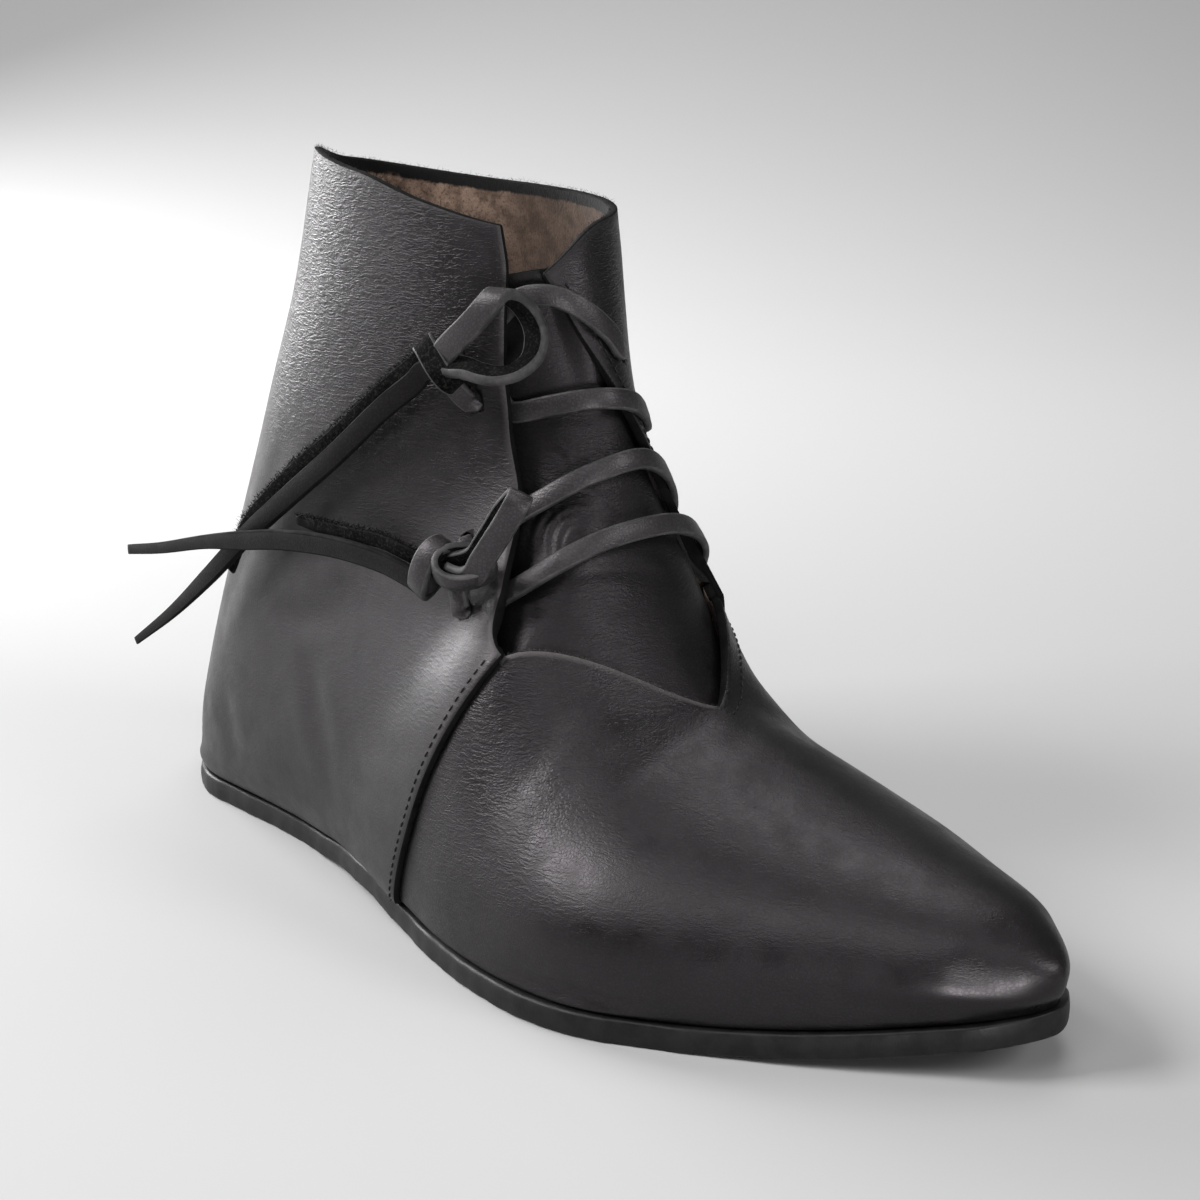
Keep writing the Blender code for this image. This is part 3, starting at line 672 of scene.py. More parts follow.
class Nodes:
    """Short ways to add nodes to a shader tree."""

    def __init__(self, tree: Tree) -> None:
        """Keeps the tree.

        Args:
            tree: node tree to fill.
        """
        self.tree = tree

    def feed(self, socket: Socket, value: object) -> None:
        """Links or sets a socket."""
        if isinstance(value, Socket):
            self.tree.links.new(value, socket)
        else:
            socket.default_value = value

    def math(self, operation: str, first: object, second: object = 0.0, clamp: bool = False) -> Socket:
        """Result of one step of arithmetic on two values.

        Args:
            operation: name of the step.
            first: first value or socket.
            second: second value or socket.
            clamp: whether the result is held from 0 to 1.

        Returns:
            The result's socket.
        """
        node = self.tree.nodes.new("ShaderNodeMath")
        node.operation = operation
        node.use_clamp = clamp
        self.feed(node.inputs[0], first)
        self.feed(node.inputs[1], second)
        return node.outputs[0]

    def plus(self, first: object, second: object, clamp: bool = False) -> Socket:
        """Sum of two values."""
        return self.math("ADD", first, second, clamp)

    def times(self, first: object, second: object) -> Socket:
        """Product of two values."""
        return self.math("MULTIPLY", first, second)

    def from_middle(self, value: object) -> Socket:
        """How far a value is from a half."""
        return self.math("ABSOLUTE", self.math("SUBTRACT", value, 0.5))

    def ramp(
        self, value: object, low: float, high: float, to_low: float = 0.0, to_high: float = 1.0
    ) -> Socket:
        """Value moved from the range low to high into another range, softly and held at its ends.

        Args:
            value: value or socket.
            low: start of its range.
            high: end of its range.
            to_low: start of the new range.
            to_high: end of the new range.

        Returns:
            The result's socket.
        """
        node = self.tree.nodes.new("ShaderNodeMapRange")
        node.interpolation_type = "SMOOTHSTEP"
        self.feed(node.inputs["Value"], value)
        for name, number in (("From Min", low), ("From Max", high), ("To Min", to_low), ("To Max", to_high)):
            node.inputs[name].default_value = number
        return node.outputs["Result"]

    def mix(self, share: object, first: object, second: object) -> Socket:
        """Mix of two colours.

        Args:
            share: share of the second colour.
            first: first colour.
            second: second colour.

        Returns:
            The mix's socket.
        """
        node = self.tree.nodes.new("ShaderNodeMix")
        node.data_type = "RGBA"
        self.feed(node.inputs[0], share)
        self.feed(node.inputs[6], first)
        self.feed(node.inputs[7], second)
        return node.outputs[2]

    def noise(self, place: object, scale: float, detail: float = 2.0, rough: float = 0.5) -> Socket:
        """Cloudy values at a scale, per metre.

        Args:
            place: socket of the place.
            scale: clouds in a metre.
            detail: how many finer layers are added.
            rough: strength of the finer layers.

        Returns:
            The values' socket.
        """
        node = self.tree.nodes.new("ShaderNodeTexNoise")
        self.feed(node.inputs["Vector"], place)
        node.inputs["Scale"].default_value = scale
        node.inputs["Detail"].default_value = detail
        node.inputs["Roughness"].default_value = rough
        return node.outputs["Fac"]

    def mapped(self, place: object, turn: Triple, scale: Triple) -> Socket:
        """Place turned by degrees and then stretched.

        Args:
            place: socket of the place.
            turn: angles in degrees.
            scale: stretch on each axis.

        Returns:
            The new place's socket.
        """
        node = self.tree.nodes.new("ShaderNodeMapping")
        self.feed(node.inputs["Vector"], place)
        node.inputs["Rotation"].default_value = tuple(math.radians(angle) for angle in turn)
        node.inputs["Scale"].default_value = scale
        return node.outputs["Vector"]


class EffectGroups:
    """Shader node groups that several finishes share."""

    def __init__(self) -> None:
        """Starts with no group made."""
        self.made: Dict[str, Tree] = {}

    def shared(self, name: str) -> Tree:
        """Group by name, made when it is first asked for."""
        if name not in self.made:
            self.made[name] = getattr(self, name)()
        return self.made[name]

    @staticmethod
    def start(
        name: str, inputs: Sequence[Tuple[str, str, float]], outputs: Sequence[str]
    ) -> Tuple[Nodes, Node, Node]:
        """Makes an empty group.

        Args:
            name: name of the group.
            inputs: names, socket kinds and first values.
            outputs: names of the values that it gives.

        Returns:
            The group's nodes, its input node and its output node.
        """
        tree = bpy.data.node_groups.new(name, "ShaderNodeTree")
        for label, kind, value in inputs:
            socket = tree.interface.new_socket(label, in_out="INPUT", socket_type=kind)
            if kind == "NodeSocketFloat":
                socket.default_value = value
        for label in outputs:
            tree.interface.new_socket(label, in_out="OUTPUT", socket_type="NodeSocketFloat")
        return Nodes(tree), tree.nodes.new("NodeGroupInput"), tree.nodes.new("NodeGroupOutput")

    def grain(self) -> Tree:
        """Pebbled leather grain with fine wrinkles: its height in millimetres, its tone and its polish.

        Returns:
            The node group.
        """
        nodes, given, out = self.start(
            "leather_grain",
            (("Place", "NodeSocketVector", 0.0), ("Pebble Depth", "NodeSocketFloat", 0.05),
             ("Wrinkle", "NodeSocketFloat", 0.0), ("Wrinkle Depth", "NodeSocketFloat", 0.2)),
            ("Height", "Tone", "Polish"),
        )
        place = given.outputs["Place"]
        bend = nodes.tree.nodes.new("ShaderNodeVectorMath")
        bend.operation = "MULTIPLY_ADD"
        wobble = nodes.tree.nodes.new("ShaderNodeTexNoise")
        nodes.feed(wobble.inputs["Vector"], place)
        wobble.inputs["Scale"].default_value = 420.0
        nodes.feed(bend.inputs[0], wobble.outputs["Color"])
        bend.inputs[1].default_value = (0.0012, 0.0012, 0.0012)
        nodes.feed(bend.inputs[2], place)
        cells = nodes.tree.nodes.new("ShaderNodeTexVoronoi")
        cells.feature = "DISTANCE_TO_EDGE"
        nodes.feed(cells.inputs["Vector"], bend.outputs[0])
        cells.inputs["Scale"].default_value = 1050.0
        pebble = nodes.ramp(cells.outputs["Distance"], 0.0, 0.28)
        fine = nodes.noise(place, 3600.0, 2.0)
        patch = nodes.noise(place, 70.0, 3.0)
        amount = nodes.times(given.outputs["Pebble Depth"], nodes.ramp(patch, 0.3, 0.7, 0.55, 1.25))
        pebbles = nodes.times(pebble, amount)
        pebbles = nodes.plus(pebbles, nodes.times(fine, nodes.times(amount, 0.5)))
        lean_one = nodes.mapped(bend.outputs[0], (24.0, 0.0, 0.0), (260.0, 190.0, 1080.0))
        lean_other = nodes.mapped(bend.outputs[0], (-62.0, 0.0, 0.0), (290.0, 210.0, 980.0))
        slant = nodes.noise(lean_one, 1.0, 3.0, 0.6)
        upright = nodes.noise(lean_other, 1.0, 3.0, 0.55)
        where = nodes.ramp(nodes.noise(place, 42.0, 1.0), 0.42, 0.58)
        folds = nodes.tree.nodes.new("ShaderNodeMix")
        nodes.feed(folds.inputs[0], where)
        nodes.feed(folds.inputs[2], nodes.from_middle(slant))
        nodes.feed(folds.inputs[3], nodes.from_middle(upright))
        crease = nodes.ramp(folds.outputs[0], 0.0, 0.16)
        depth = nodes.times(given.outputs["Wrinkle"], given.outputs["Wrinkle Depth"])
        wrinkles = nodes.times(crease, depth)
        nodes.feed(out.inputs["Height"], nodes.plus(pebbles, wrinkles))
        tone = nodes.plus(nodes.times(patch, 0.7), nodes.times(pebble, 0.3))
        nodes.feed(out.inputs["Tone"], tone)
        polish = nodes.plus(nodes.times(nodes.noise(place, 160.0, 3.0), 0.88), nodes.times(pebble, 0.12))
        nodes.feed(out.inputs["Polish"], polish)
        return nodes.tree

    def nap(self) -> Tree:
        """Mottled fibres of bare leather: their height in millimetres, blotches and specks.

        Returns:
            The node group.
        """
        nodes, given, out = self.start(
            "leather_nap",
            (("Place", "NodeSocketVector", 0.0), ("Depth", "NodeSocketFloat", 0.3)),
            ("Height", "Blotch", "Speck"),
        )
        place = given.outputs["Place"]
        coarse = nodes.noise(place, 380.0, 4.0, 0.65)
        fibre = nodes.noise(nodes.mapped(place, (35.0, 20.0, 0.0), (2600.0, 2600.0, 900.0)), 1.0, 3.0, 0.6)
        height = nodes.plus(nodes.times(coarse, 0.6), nodes.times(fibre, 0.4))
        nodes.feed(out.inputs["Height"], nodes.times(height, given.outputs["Depth"]))
        nodes.feed(out.inputs["Blotch"], nodes.ramp(nodes.noise(place, 210.0, 4.0, 0.65), 0.34, 0.66))
        nodes.feed(out.inputs["Speck"], nodes.ramp(nodes.noise(place, 1400.0, 3.0, 0.7), 0.48, 0.68))
        return nodes.tree

    def scuff(self) -> Tree:
        """Pale rubs and dull patches of a worn surface.

        Returns:
            The node group.
        """
        nodes, given, out = self.start(
            "leather_scuff",
            (("Place", "NodeSocketVector", 0.0), ("Amount", "NodeSocketFloat", 0.3)),
            ("Rub", "Dull"),
        )
        place = given.outputs["Place"]
        streak = nodes.noise(nodes.mapped(place, (0.0, 12.0, 8.0), (900.0, 260.0, 1500.0)), 1.0, 4.0, 0.65)
        rub = nodes.ramp(streak, 0.60, 0.78)
        nodes.feed(out.inputs["Rub"], nodes.times(rub, given.outputs["Amount"]))
        nodes.feed(out.inputs["Dull"], nodes.ramp(nodes.noise(place, 95.0, 3.0), 0.4, 0.7))
        return nodes.tree


EFFECTS = EffectGroups()
RIM_TINT = (0.004, 0.004, 0.004, 1.0)
# Painted highlight: pale tint laid on the grain along the outer slit's and the throat's cut edges.
PAINTED_HIGHLIGHT_TINT = (0.11, 0.10, 0.10, 1.0)
GLOSS_TINT = (1.0, 0.93, 0.98, 1.0)


def new_material(name: str) -> Tuple[Material, Nodes, Node, Socket]:
    """Starts a material.

    Args:
        name: name of the material.

    Returns:
        The material, its nodes, its Principled shader and the Object coordinates.
    """
    material = bpy.data.materials.new(name)
    material.use_nodes = True
    nodes = Nodes(material.node_tree)
    shader = material.node_tree.nodes["Principled BSDF"]
    place = material.node_tree.nodes.new("ShaderNodeTexCoord").outputs["Object"]
    return material, nodes, shader, place


def use_group(nodes: Nodes, group: Tree, **values: object) -> Node:
    """Places a shared effect in a material.

    Args:
        nodes: the material's nodes.
        group: the effect.
        values: its inputs, by name with underscores.

    Returns:
        The group's node.
    """
    node = nodes.tree.nodes.new("ShaderNodeGroup")
    node.node_tree = group
    for name, value in values.items():
        nodes.feed(node.inputs[name.replace("_", " ").title()], value)
    return node


def bump(nodes: Nodes, shader: Node, height: object) -> None:
    """Feeds a height in millimetres to a shader's normal.

    Args:
        nodes: the material's nodes.
        shader: its shader.
        height: the height.
    """
    node = nodes.tree.nodes.new("ShaderNodeBump")
    node.inputs["Strength"].default_value = 1.0
    node.inputs["Distance"].default_value = MM
    nodes.feed(node.inputs["Height"], height)
    nodes.feed(shader.inputs["Normal"], node.outputs["Normal"])


def attribute(nodes: Nodes, name: str) -> Socket:
    """Value of a point attribute of the piece.

    Args:
        nodes: the material's nodes.
        name: name of the attribute.

    Returns:
        The value's socket.
    """
    node = nodes.tree.nodes.new("ShaderNodeAttribute")
    node.attribute_name = name
    return node.outputs["Fac"]


@dataclass(frozen=True)
class GrainFinish:
    """Dyed and waxed grain side of leather."""

    name: str
    dark: Colour
    light: Colour
    rough_low: float
    rough_high: float
    pebble_depth: float
    wrinkle_depth: float
    scuff: float
    specular: float = 0.4
    polish: float = 0.0

    def material(self) -> Material:
        """Makes the material; it reads the attributes wrinkle and rim, and a third attribute that lays a
        painted highlight along cut edges.

        Returns:
            The material.
        """
        material, nodes, shader, place = new_material(self.name)
        wrinkle = attribute(nodes, "wrinkle")
        pebble = nodes.ramp(wrinkle, 0.03, 0.4, 0.12 * self.pebble_depth, self.pebble_depth)
        grain = use_group(
            nodes, EFFECTS.shared("grain"), place=place, pebble_depth=pebble, wrinkle=wrinkle,
            wrinkle_depth=self.wrinkle_depth,
        )
        scuff_and_highlight = use_group(nodes, EFFECTS.shared("scuff"), place=place, amount=self.scuff)
        tone = nodes.ramp(grain.outputs["Tone"], 0.25, 0.75)
        colour = nodes.mix(tone, (*self.dark, 1.0), (*self.light, 1.0))
        rubbed = tuple(value * 2.6 + 0.012 for value in self.light)
        colour = nodes.mix(scuff_and_highlight.outputs["Rub"], colour, (*rubbed, 1.0))
        rim = attribute(nodes, "rim")
        colour = nodes.mix(nodes.times(rim, 0.7), colour, RIM_TINT)
        # Painted highlight: paler grain along the outer slit's and the throat's cut edges.
        colour = nodes.mix(attribute(nodes, "wear"), colour, PAINTED_HIGHLIGHT_TINT)
        nodes.feed(shader.inputs["Base Color"], colour)
        rough = nodes.ramp(grain.outputs["Polish"], 0.2, 0.8, self.rough_high, self.rough_low)
        rough = nodes.plus(rough, nodes.times(scuff_and_highlight.outputs["Dull"], 0.05))
        rough = nodes.math("SUBTRACT", rough, nodes.ramp(wrinkle, 0.02, 0.16, self.polish, 0.0))
        rough = nodes.plus(rough, nodes.times(rim, 0.15), clamp=True)
        nodes.feed(shader.inputs["Roughness"], rough)
        shader.inputs["Specular IOR Level"].default_value = self.specular
        shader.inputs["Specular Tint"].default_value = GLOSS_TINT
        bump(nodes, shader, grain.outputs["Height"])
        return material


@dataclass(frozen=True)
class FleshFinish:
    """Bare, brushed flesh side of leather."""

    name: str
    light: Colour
    brown: Colour
    speck: Colour
    depth: float
    specular: float
    sheen: float
    rim_colour: Colour = (0.003, 0.0028, 0.0028)

    def material(self) -> Material:
        """Makes the material; it is darkened by painted shade where its painted-light attribute is high, and
        dyed where bleed is.

        Returns:
            The material.
        """
        material, nodes, shader, place = new_material(self.name)
        nap = use_group(nodes, EFFECTS.shared("nap"), place=place, depth=self.depth)
        colour = nodes.mix(nap.outputs["Blotch"], (*self.brown, 1.0), (*self.light, 1.0))
        colour = nodes.mix(nodes.times(nap.outputs["Speck"], 0.6), colour, (*self.speck, 1.0))
        # Painted shade: the lining darkens towards the inner quarter's slit.
        painted_shade = tuple(value * 0.3 for value in self.brown)
        colour = nodes.mix(attribute(nodes, "wear"), colour, (*painted_shade, 1.0))
        ragged = nodes.plus(attribute(nodes, "bleed"), nodes.times(nap.outputs["Blotch"], -0.25))
        colour = nodes.mix(nodes.ramp(ragged, 0.25, 0.6), colour, (*self.rim_colour, 1.0))
        nodes.feed(shader.inputs["Base Color"], colour)
        shader.inputs["Roughness"].default_value = 0.95
        shader.inputs["Specular IOR Level"].default_value = self.specular
        shader.inputs["Sheen Weight"].default_value = self.sheen
        bump(nodes, shader, nap.outputs["Height"])
        return material


@dataclass(frozen=True)
class EdgeFinish:
    """Cut or stained edge of leather, or thread."""

    name: str
    dark: Colour
    light: Colour
    roughness: float
    depth: float
    scuff: float = 0.2
    specular: float = 0.3

    def material(self) -> Material:
        """Makes the material.

        Returns:
            The material.
        """
        material, nodes, shader, place = new_material(self.name)
        nap = use_group(nodes, EFFECTS.shared("nap"), place=place, depth=self.depth)
        scuff_and_highlight = use_group(nodes, EFFECTS.shared("scuff"), place=place, amount=self.scuff)
        colour = nodes.mix(nap.outputs["Blotch"], (*self.dark, 1.0), (*self.light, 1.0))
        rubbed = tuple(value * 3.0 + 0.01 for value in self.light)
        colour = nodes.mix(scuff_and_highlight.outputs["Rub"], colour, (*rubbed, 1.0))
        nodes.feed(shader.inputs["Base Color"], colour)
        rough = nodes.plus(nodes.times(scuff_and_highlight.outputs["Dull"], 0.18), self.roughness, clamp=True)
        nodes.feed(shader.inputs["Roughness"], rough)
        shader.inputs["Specular IOR Level"].default_value = self.specular
        bump(nodes, shader, nap.outputs["Height"])
        return material


@dataclass
class Finishes:
    """All the boot's materials, made once."""

    upper: GrainFinish = GrainFinish(
        "upper_grain", dark=(0.0022, 0.0020, 0.0022), light=(0.0062, 0.0055, 0.0060),
        rough_low=0.34, rough_high=0.47, pebble_depth=0.022, wrinkle_depth=0.12, scuff=0.05,
        specular=0.4, polish=0.08,
    )
    tongue: GrainFinish = GrainFinish(
        "tongue_grain", dark=(0.0022, 0.0020, 0.0022), light=(0.0062, 0.0055, 0.0060),
        rough_low=0.40, rough_high=0.52, pebble_depth=0.022, wrinkle_depth=0.14, scuff=0.05, specular=0.32,
    )
    # Painted highlight: the lace straps, loops and knots have a lighter copy of the grain than the free ends.
    thong: GrainFinish = GrainFinish(
        "thong_grain_painted_highlight", dark=(0.013, 0.0122, 0.0128), light=(0.028, 0.0262, 0.0274),
        rough_low=0.36, rough_high=0.46, pebble_depth=0.02, wrinkle_depth=0.05, scuff=0.06, specular=0.42,
    )
    # Painted shade: the free ends have a darker copy of the same thong grain.
    thong_tail: GrainFinish = GrainFinish(
        "thong_tail", dark=(0.003, 0.0028, 0.003), light=(0.007, 0.0065, 0.007),
        rough_low=0.46, rough_high=0.56, pebble_depth=0.02, wrinkle_depth=0.05, scuff=0.05, specular=0.13,
    )
    # Painted highlight: pale cut edges on the lace straps, loops and knots; the free ends keep the dark cut
    # edge.
    thong_edge: EdgeFinish = EdgeFinish(
        "thong_edge", dark=(0.020, 0.019, 0.019), light=(0.055, 0.052, 0.052), roughness=0.55, depth=0.10,
        scuff=0.2, specular=0.4,
    )
    lining: FleshFinish = FleshFinish(
        "bare_flesh", light=(0.35, 0.239, 0.181), brown=(0.14, 0.091, 0.065), speck=(0.012, 0.009, 0.007),
        depth=0.45, specular=0.2, sheen=0.12,
    )
    thong_flesh: FleshFinish = FleshFinish(
        "thong_flesh", light=(0.006, 0.0057, 0.0057), brown=(0.002, 0.0019, 0.0019),
        speck=(0.030, 0.028, 0.027),
        depth=0.35, specular=0.06, sheen=0.0,
    )
    cut: EdgeFinish = EdgeFinish(
        "cut_edge", dark=(0.0015, 0.0014, 0.0014), light=(0.005, 0.0045, 0.0045), roughness=0.80, depth=0.12,
        scuff=0.1, specular=0.12,
    )
    sole: EdgeFinish = EdgeFinish(
        "sole_edge", dark=(0.003, 0.0028, 0.0028), light=(0.008, 0.0075, 0.0075), roughness=0.44, depth=0.10,
        scuff=0.25, specular=0.27,
    )
    # Painted highlight: pale fibres along the throat's edge.
    scuff_and_highlight: EdgeFinish = EdgeFinish(
        "throat_fibre_highlight", dark=(0.03, 0.028, 0.028), light=(0.10, 0.095, 0.095), roughness=0.8, depth=0.12,
    )
    thread: EdgeFinish = EdgeFinish(
        "waxed_thread", dark=(0.003, 0.003, 0.003), light=(0.010, 0.010, 0.010), roughness=0.55, depth=0.05,
    )

    def __post_init__(self) -> None:
        """Makes the materials."""
        self.made = {entry.name: getattr(self, entry.name).material() for entry in fields(self)}

    def of(self, *names: str) -> List[Material]:
        """Materials by name."""
        return [self.made[name] for name in names]


UPPER_CREASES = (
    Crease(((5.05, 2.02), (4.75, 1.80), (4.55, 1.55)), 3.4, 0.26),
    Crease(((4.95, 2.10), (4.55, 2.02), (4.15, 1.85)), 3.2, 0.22),
    Crease(((5.25, 1.85), (5.05, 1.62), (4.95, 1.42)), 2.8, 0.20),
    Crease(((5.55, 1.70), (5.35, 1.50), (5.20, 1.25)), 3.0, 0.18),
    Crease(((6.25, 1.10), (6.60, 1.02), (7.00, 1.00)), 3.0, 0.18),
    Crease(((6.25, 0.85), (6.55, 0.80), (6.95, 0.82)), 2.6, 0.20),
    Crease(((7.20, 0.75), (8.10, 0.95), (9.00, 1.05)), 4.5, 0.60),
    Crease(((8.40, 0.45), (9.20, 0.62), (10.0, 0.72)), 5.0, 0.55),
    Crease(((9.00, 1.15), (9.80, 1.05), (10.6, 0.98)), 3.6, 0.45),
    Crease(((11.9, 1.40), (12.6, 1.33), (13.3, 1.27)), 1.5, 0.28),
    Crease(((11.8, 1.34), (12.5, 1.26), (13.2, 1.19)), 1.6, 0.26),
    Crease(((11.7, 1.27), (12.3, 1.18), (12.9, 1.10)), 1.8, 0.22),
    Crease(((10.4, 1.22), (11.0, 1.08), (11.7, 0.98)), 3.0, 0.35),
    Crease(((11.2, 0.60), (12.0, 0.75), (12.8, 0.85)), 4.0, 0.40),
    Crease(((4.60, 0.35), (3.80, 0.40), (3.00, 0.38)), 3.2, 0.30),
    Crease(((2.00, 1.04), (1.50, 0.96), (1.00, 0.88), (0.60, 0.81), (0.30, 0.77), (0.02, 0.76)), 3.4, -1.30),
    Crease(((6.40, 3.00), (7.20, 2.95), (8.00, 2.95)), 3.0, 0.45),
    Crease(((8.80, 3.05), (9.60, 3.00), (10.4, 2.98)), 3.6, 0.45),
)

TONGUE_CREASES = (
    Crease(
        ((7.58, 1.56), (7.95, 1.59), (8.20, 1.64), (8.12, 1.71), (7.85, 1.80), (7.30, 1.92), (6.95, 2.00)),
        0.9, 0.26,
    ),
    Crease(((7.30, 1.60), (7.70, 1.62), (7.95, 1.67), (7.88, 1.73), (7.60, 1.81), (7.10, 1.92)), 0.8, 0.30),
    Crease(((7.10, 1.65), (7.45, 1.66), (7.67, 1.69), (7.62, 1.75), (7.28, 1.83), (6.95, 1.92)), 0.8, 0.30),
    Crease(((6.97, 1.69), (7.25, 1.70), (7.38, 1.73), (7.30, 1.78), (7.03, 1.86)), 0.8, 0.24),
    Crease(((9.60, 1.68), (9.20, 1.74), (8.70, 1.76)), 1.0, 0.16),
    Crease(((9.70, 1.78), (9.25, 1.84), (8.75, 1.86)), 1.0, 0.14),
    Crease(((6.20, 1.75), (5.95, 1.95), (5.80, 2.15)), 1.6, 0.30),
)


def smooth_route(points: Array, step: float, spans: int = 3) -> Array:
    """Points at even steps on a smooth curve through a route's own points.

    Args:
        points: the route; its first columns are its place.
        step: length of a step.
        spans: how many columns the length is measured in.

    Returns:
        The points, with all the route's columns.
    """
    points = np.asarray(points, float)
    padded = np.vstack([2 * points[0] - points[1], points, 2 * points[-1] - points[-2]])
    t = np.arange(0, 1, 0.05)[:, None]
    fine = []
    for before, start, end, after in zip(padded, padded[1:], padded[2:], padded[3:]):
        fine.append(
            0.5 * (2 * start + (end - before) * t + (2 * before - 5 * start + 4 * end - after) * t ** 2
                   + (3 * start - before - 3 * end + after) * t ** 3)
        )
    fine = np.vstack(fine + [points[-1:]])
    lengths = np.concatenate([[0], np.cumsum(np.linalg.norm(np.diff(fine[:, :spans], axis=0), axis=1))])
    count = max(int(round(lengths[-1] / step)), 4)
    at = np.linspace(0, lengths[-1], count + 1)
    return np.stack([np.interp(at, lengths, fine[:, k]) for k in range(fine.shape[1])], axis=1)


class CreaseField:
    """Height of a set of creases over a sheet."""

    STEP = 0.03
    REACH = 5.0
    SIDE_RIDGE = 0.4
    SIDE_PLACE = 2.0
    SIDE_WIDTH = 0.9
    END_FADE = 0.6

    def __init__(self, creases: Sequence[Crease]) -> None:
        """Lays the creases on the upper.

        Args:
            creases: their places and sizes.
        """
        self.lines = []
        for crease in creases:
            places = smooth_route(np.array(crease.places), self.STEP, 2)
            self.lines.append((FORM.point(places[:, 0], places[:, 1], False), crease.width, crease.depth))

    def at(self, points: Array) -> Array:
        """Height over the plain sheet at points.

        A trough has a low ridge on either side and fades at both ends. A ridge stands alone and fades at its
        start.

        Args:
            points: points of the sheet.

        Returns:
            Heights, in millimetres.
        """
        flat = points.reshape(-1, 3)
        total = np.zeros(len(flat))
        for line, width, depth in self.lines:
            tree = KDTree(len(line))
            for k, place in enumerate(line):
                tree.insert(place, k)
            tree.balance()
            reach = self.REACH * width
            low, high = line.min(axis=0) - reach, line.max(axis=0) + reach
            near = np.nonzero(np.all((flat > low) & (flat < high), axis=1))[0]
            end = 1.0 if depth > 0 else 0.5
            for k in near:
                _, index, away = tree.find(flat[k])
                share = math.sin(end * math.pi * (index + 0.5) / len(line)) ** self.END_FADE
                trough = math.exp(-(away / width) ** 2)
                if depth > 0:
                    beside = (away / width - self.SIDE_PLACE) / self.SIDE_WIDTH
                    trough -= self.SIDE_RIDGE * math.exp(-beside ** 2)
                total[k] -= depth * share * trough
        return total.reshape(points.shape[:-1])


def run_length(points: Array, axis: int) -> Array:
    """Distance of grid points from the first row or column, along the grid.

    Args:
        points: grid of points.
        axis: 0 to measure along columns, 1 along rows.

    Returns:
        The distances, one for each point.
    """
    steps = np.linalg.norm(np.diff(points, axis=axis), axis=-1)
    zero = np.zeros_like(np.take(steps, [0], axis=axis))
    return np.concatenate([zero, np.cumsum(steps, axis=axis)], axis=axis)


def rim(draft: MeshDraft, front: Array, behind: Array, back: Array, bulge: float) -> None:
    """Rounded cut edge of a sheet.

    Args:
        draft: mesh that the sheet is drafted in.
        front: indices of the outer face's edge.
        behind: points one step in from that edge.
        back: indices of the inner face's edge.
        bulge: how far the edge stands out.
    """
    places = np.concatenate(draft.points)
    first, last = places[front], places[back]
    out = unit(first - behind)
    rows = [front]
    for share in (0.08, 0.25, 0.5, 0.75, 0.92):
        reach = bulge * (4 * share * (1 - share)) ** 0.5
        rows.append(draft.add(first + (last - first) * share + out * reach, rim=1.0))
    rows.append(back)
    for one, other in zip(rows, rows[1:]):
        draft.strip(one, other, Face.EDGE)


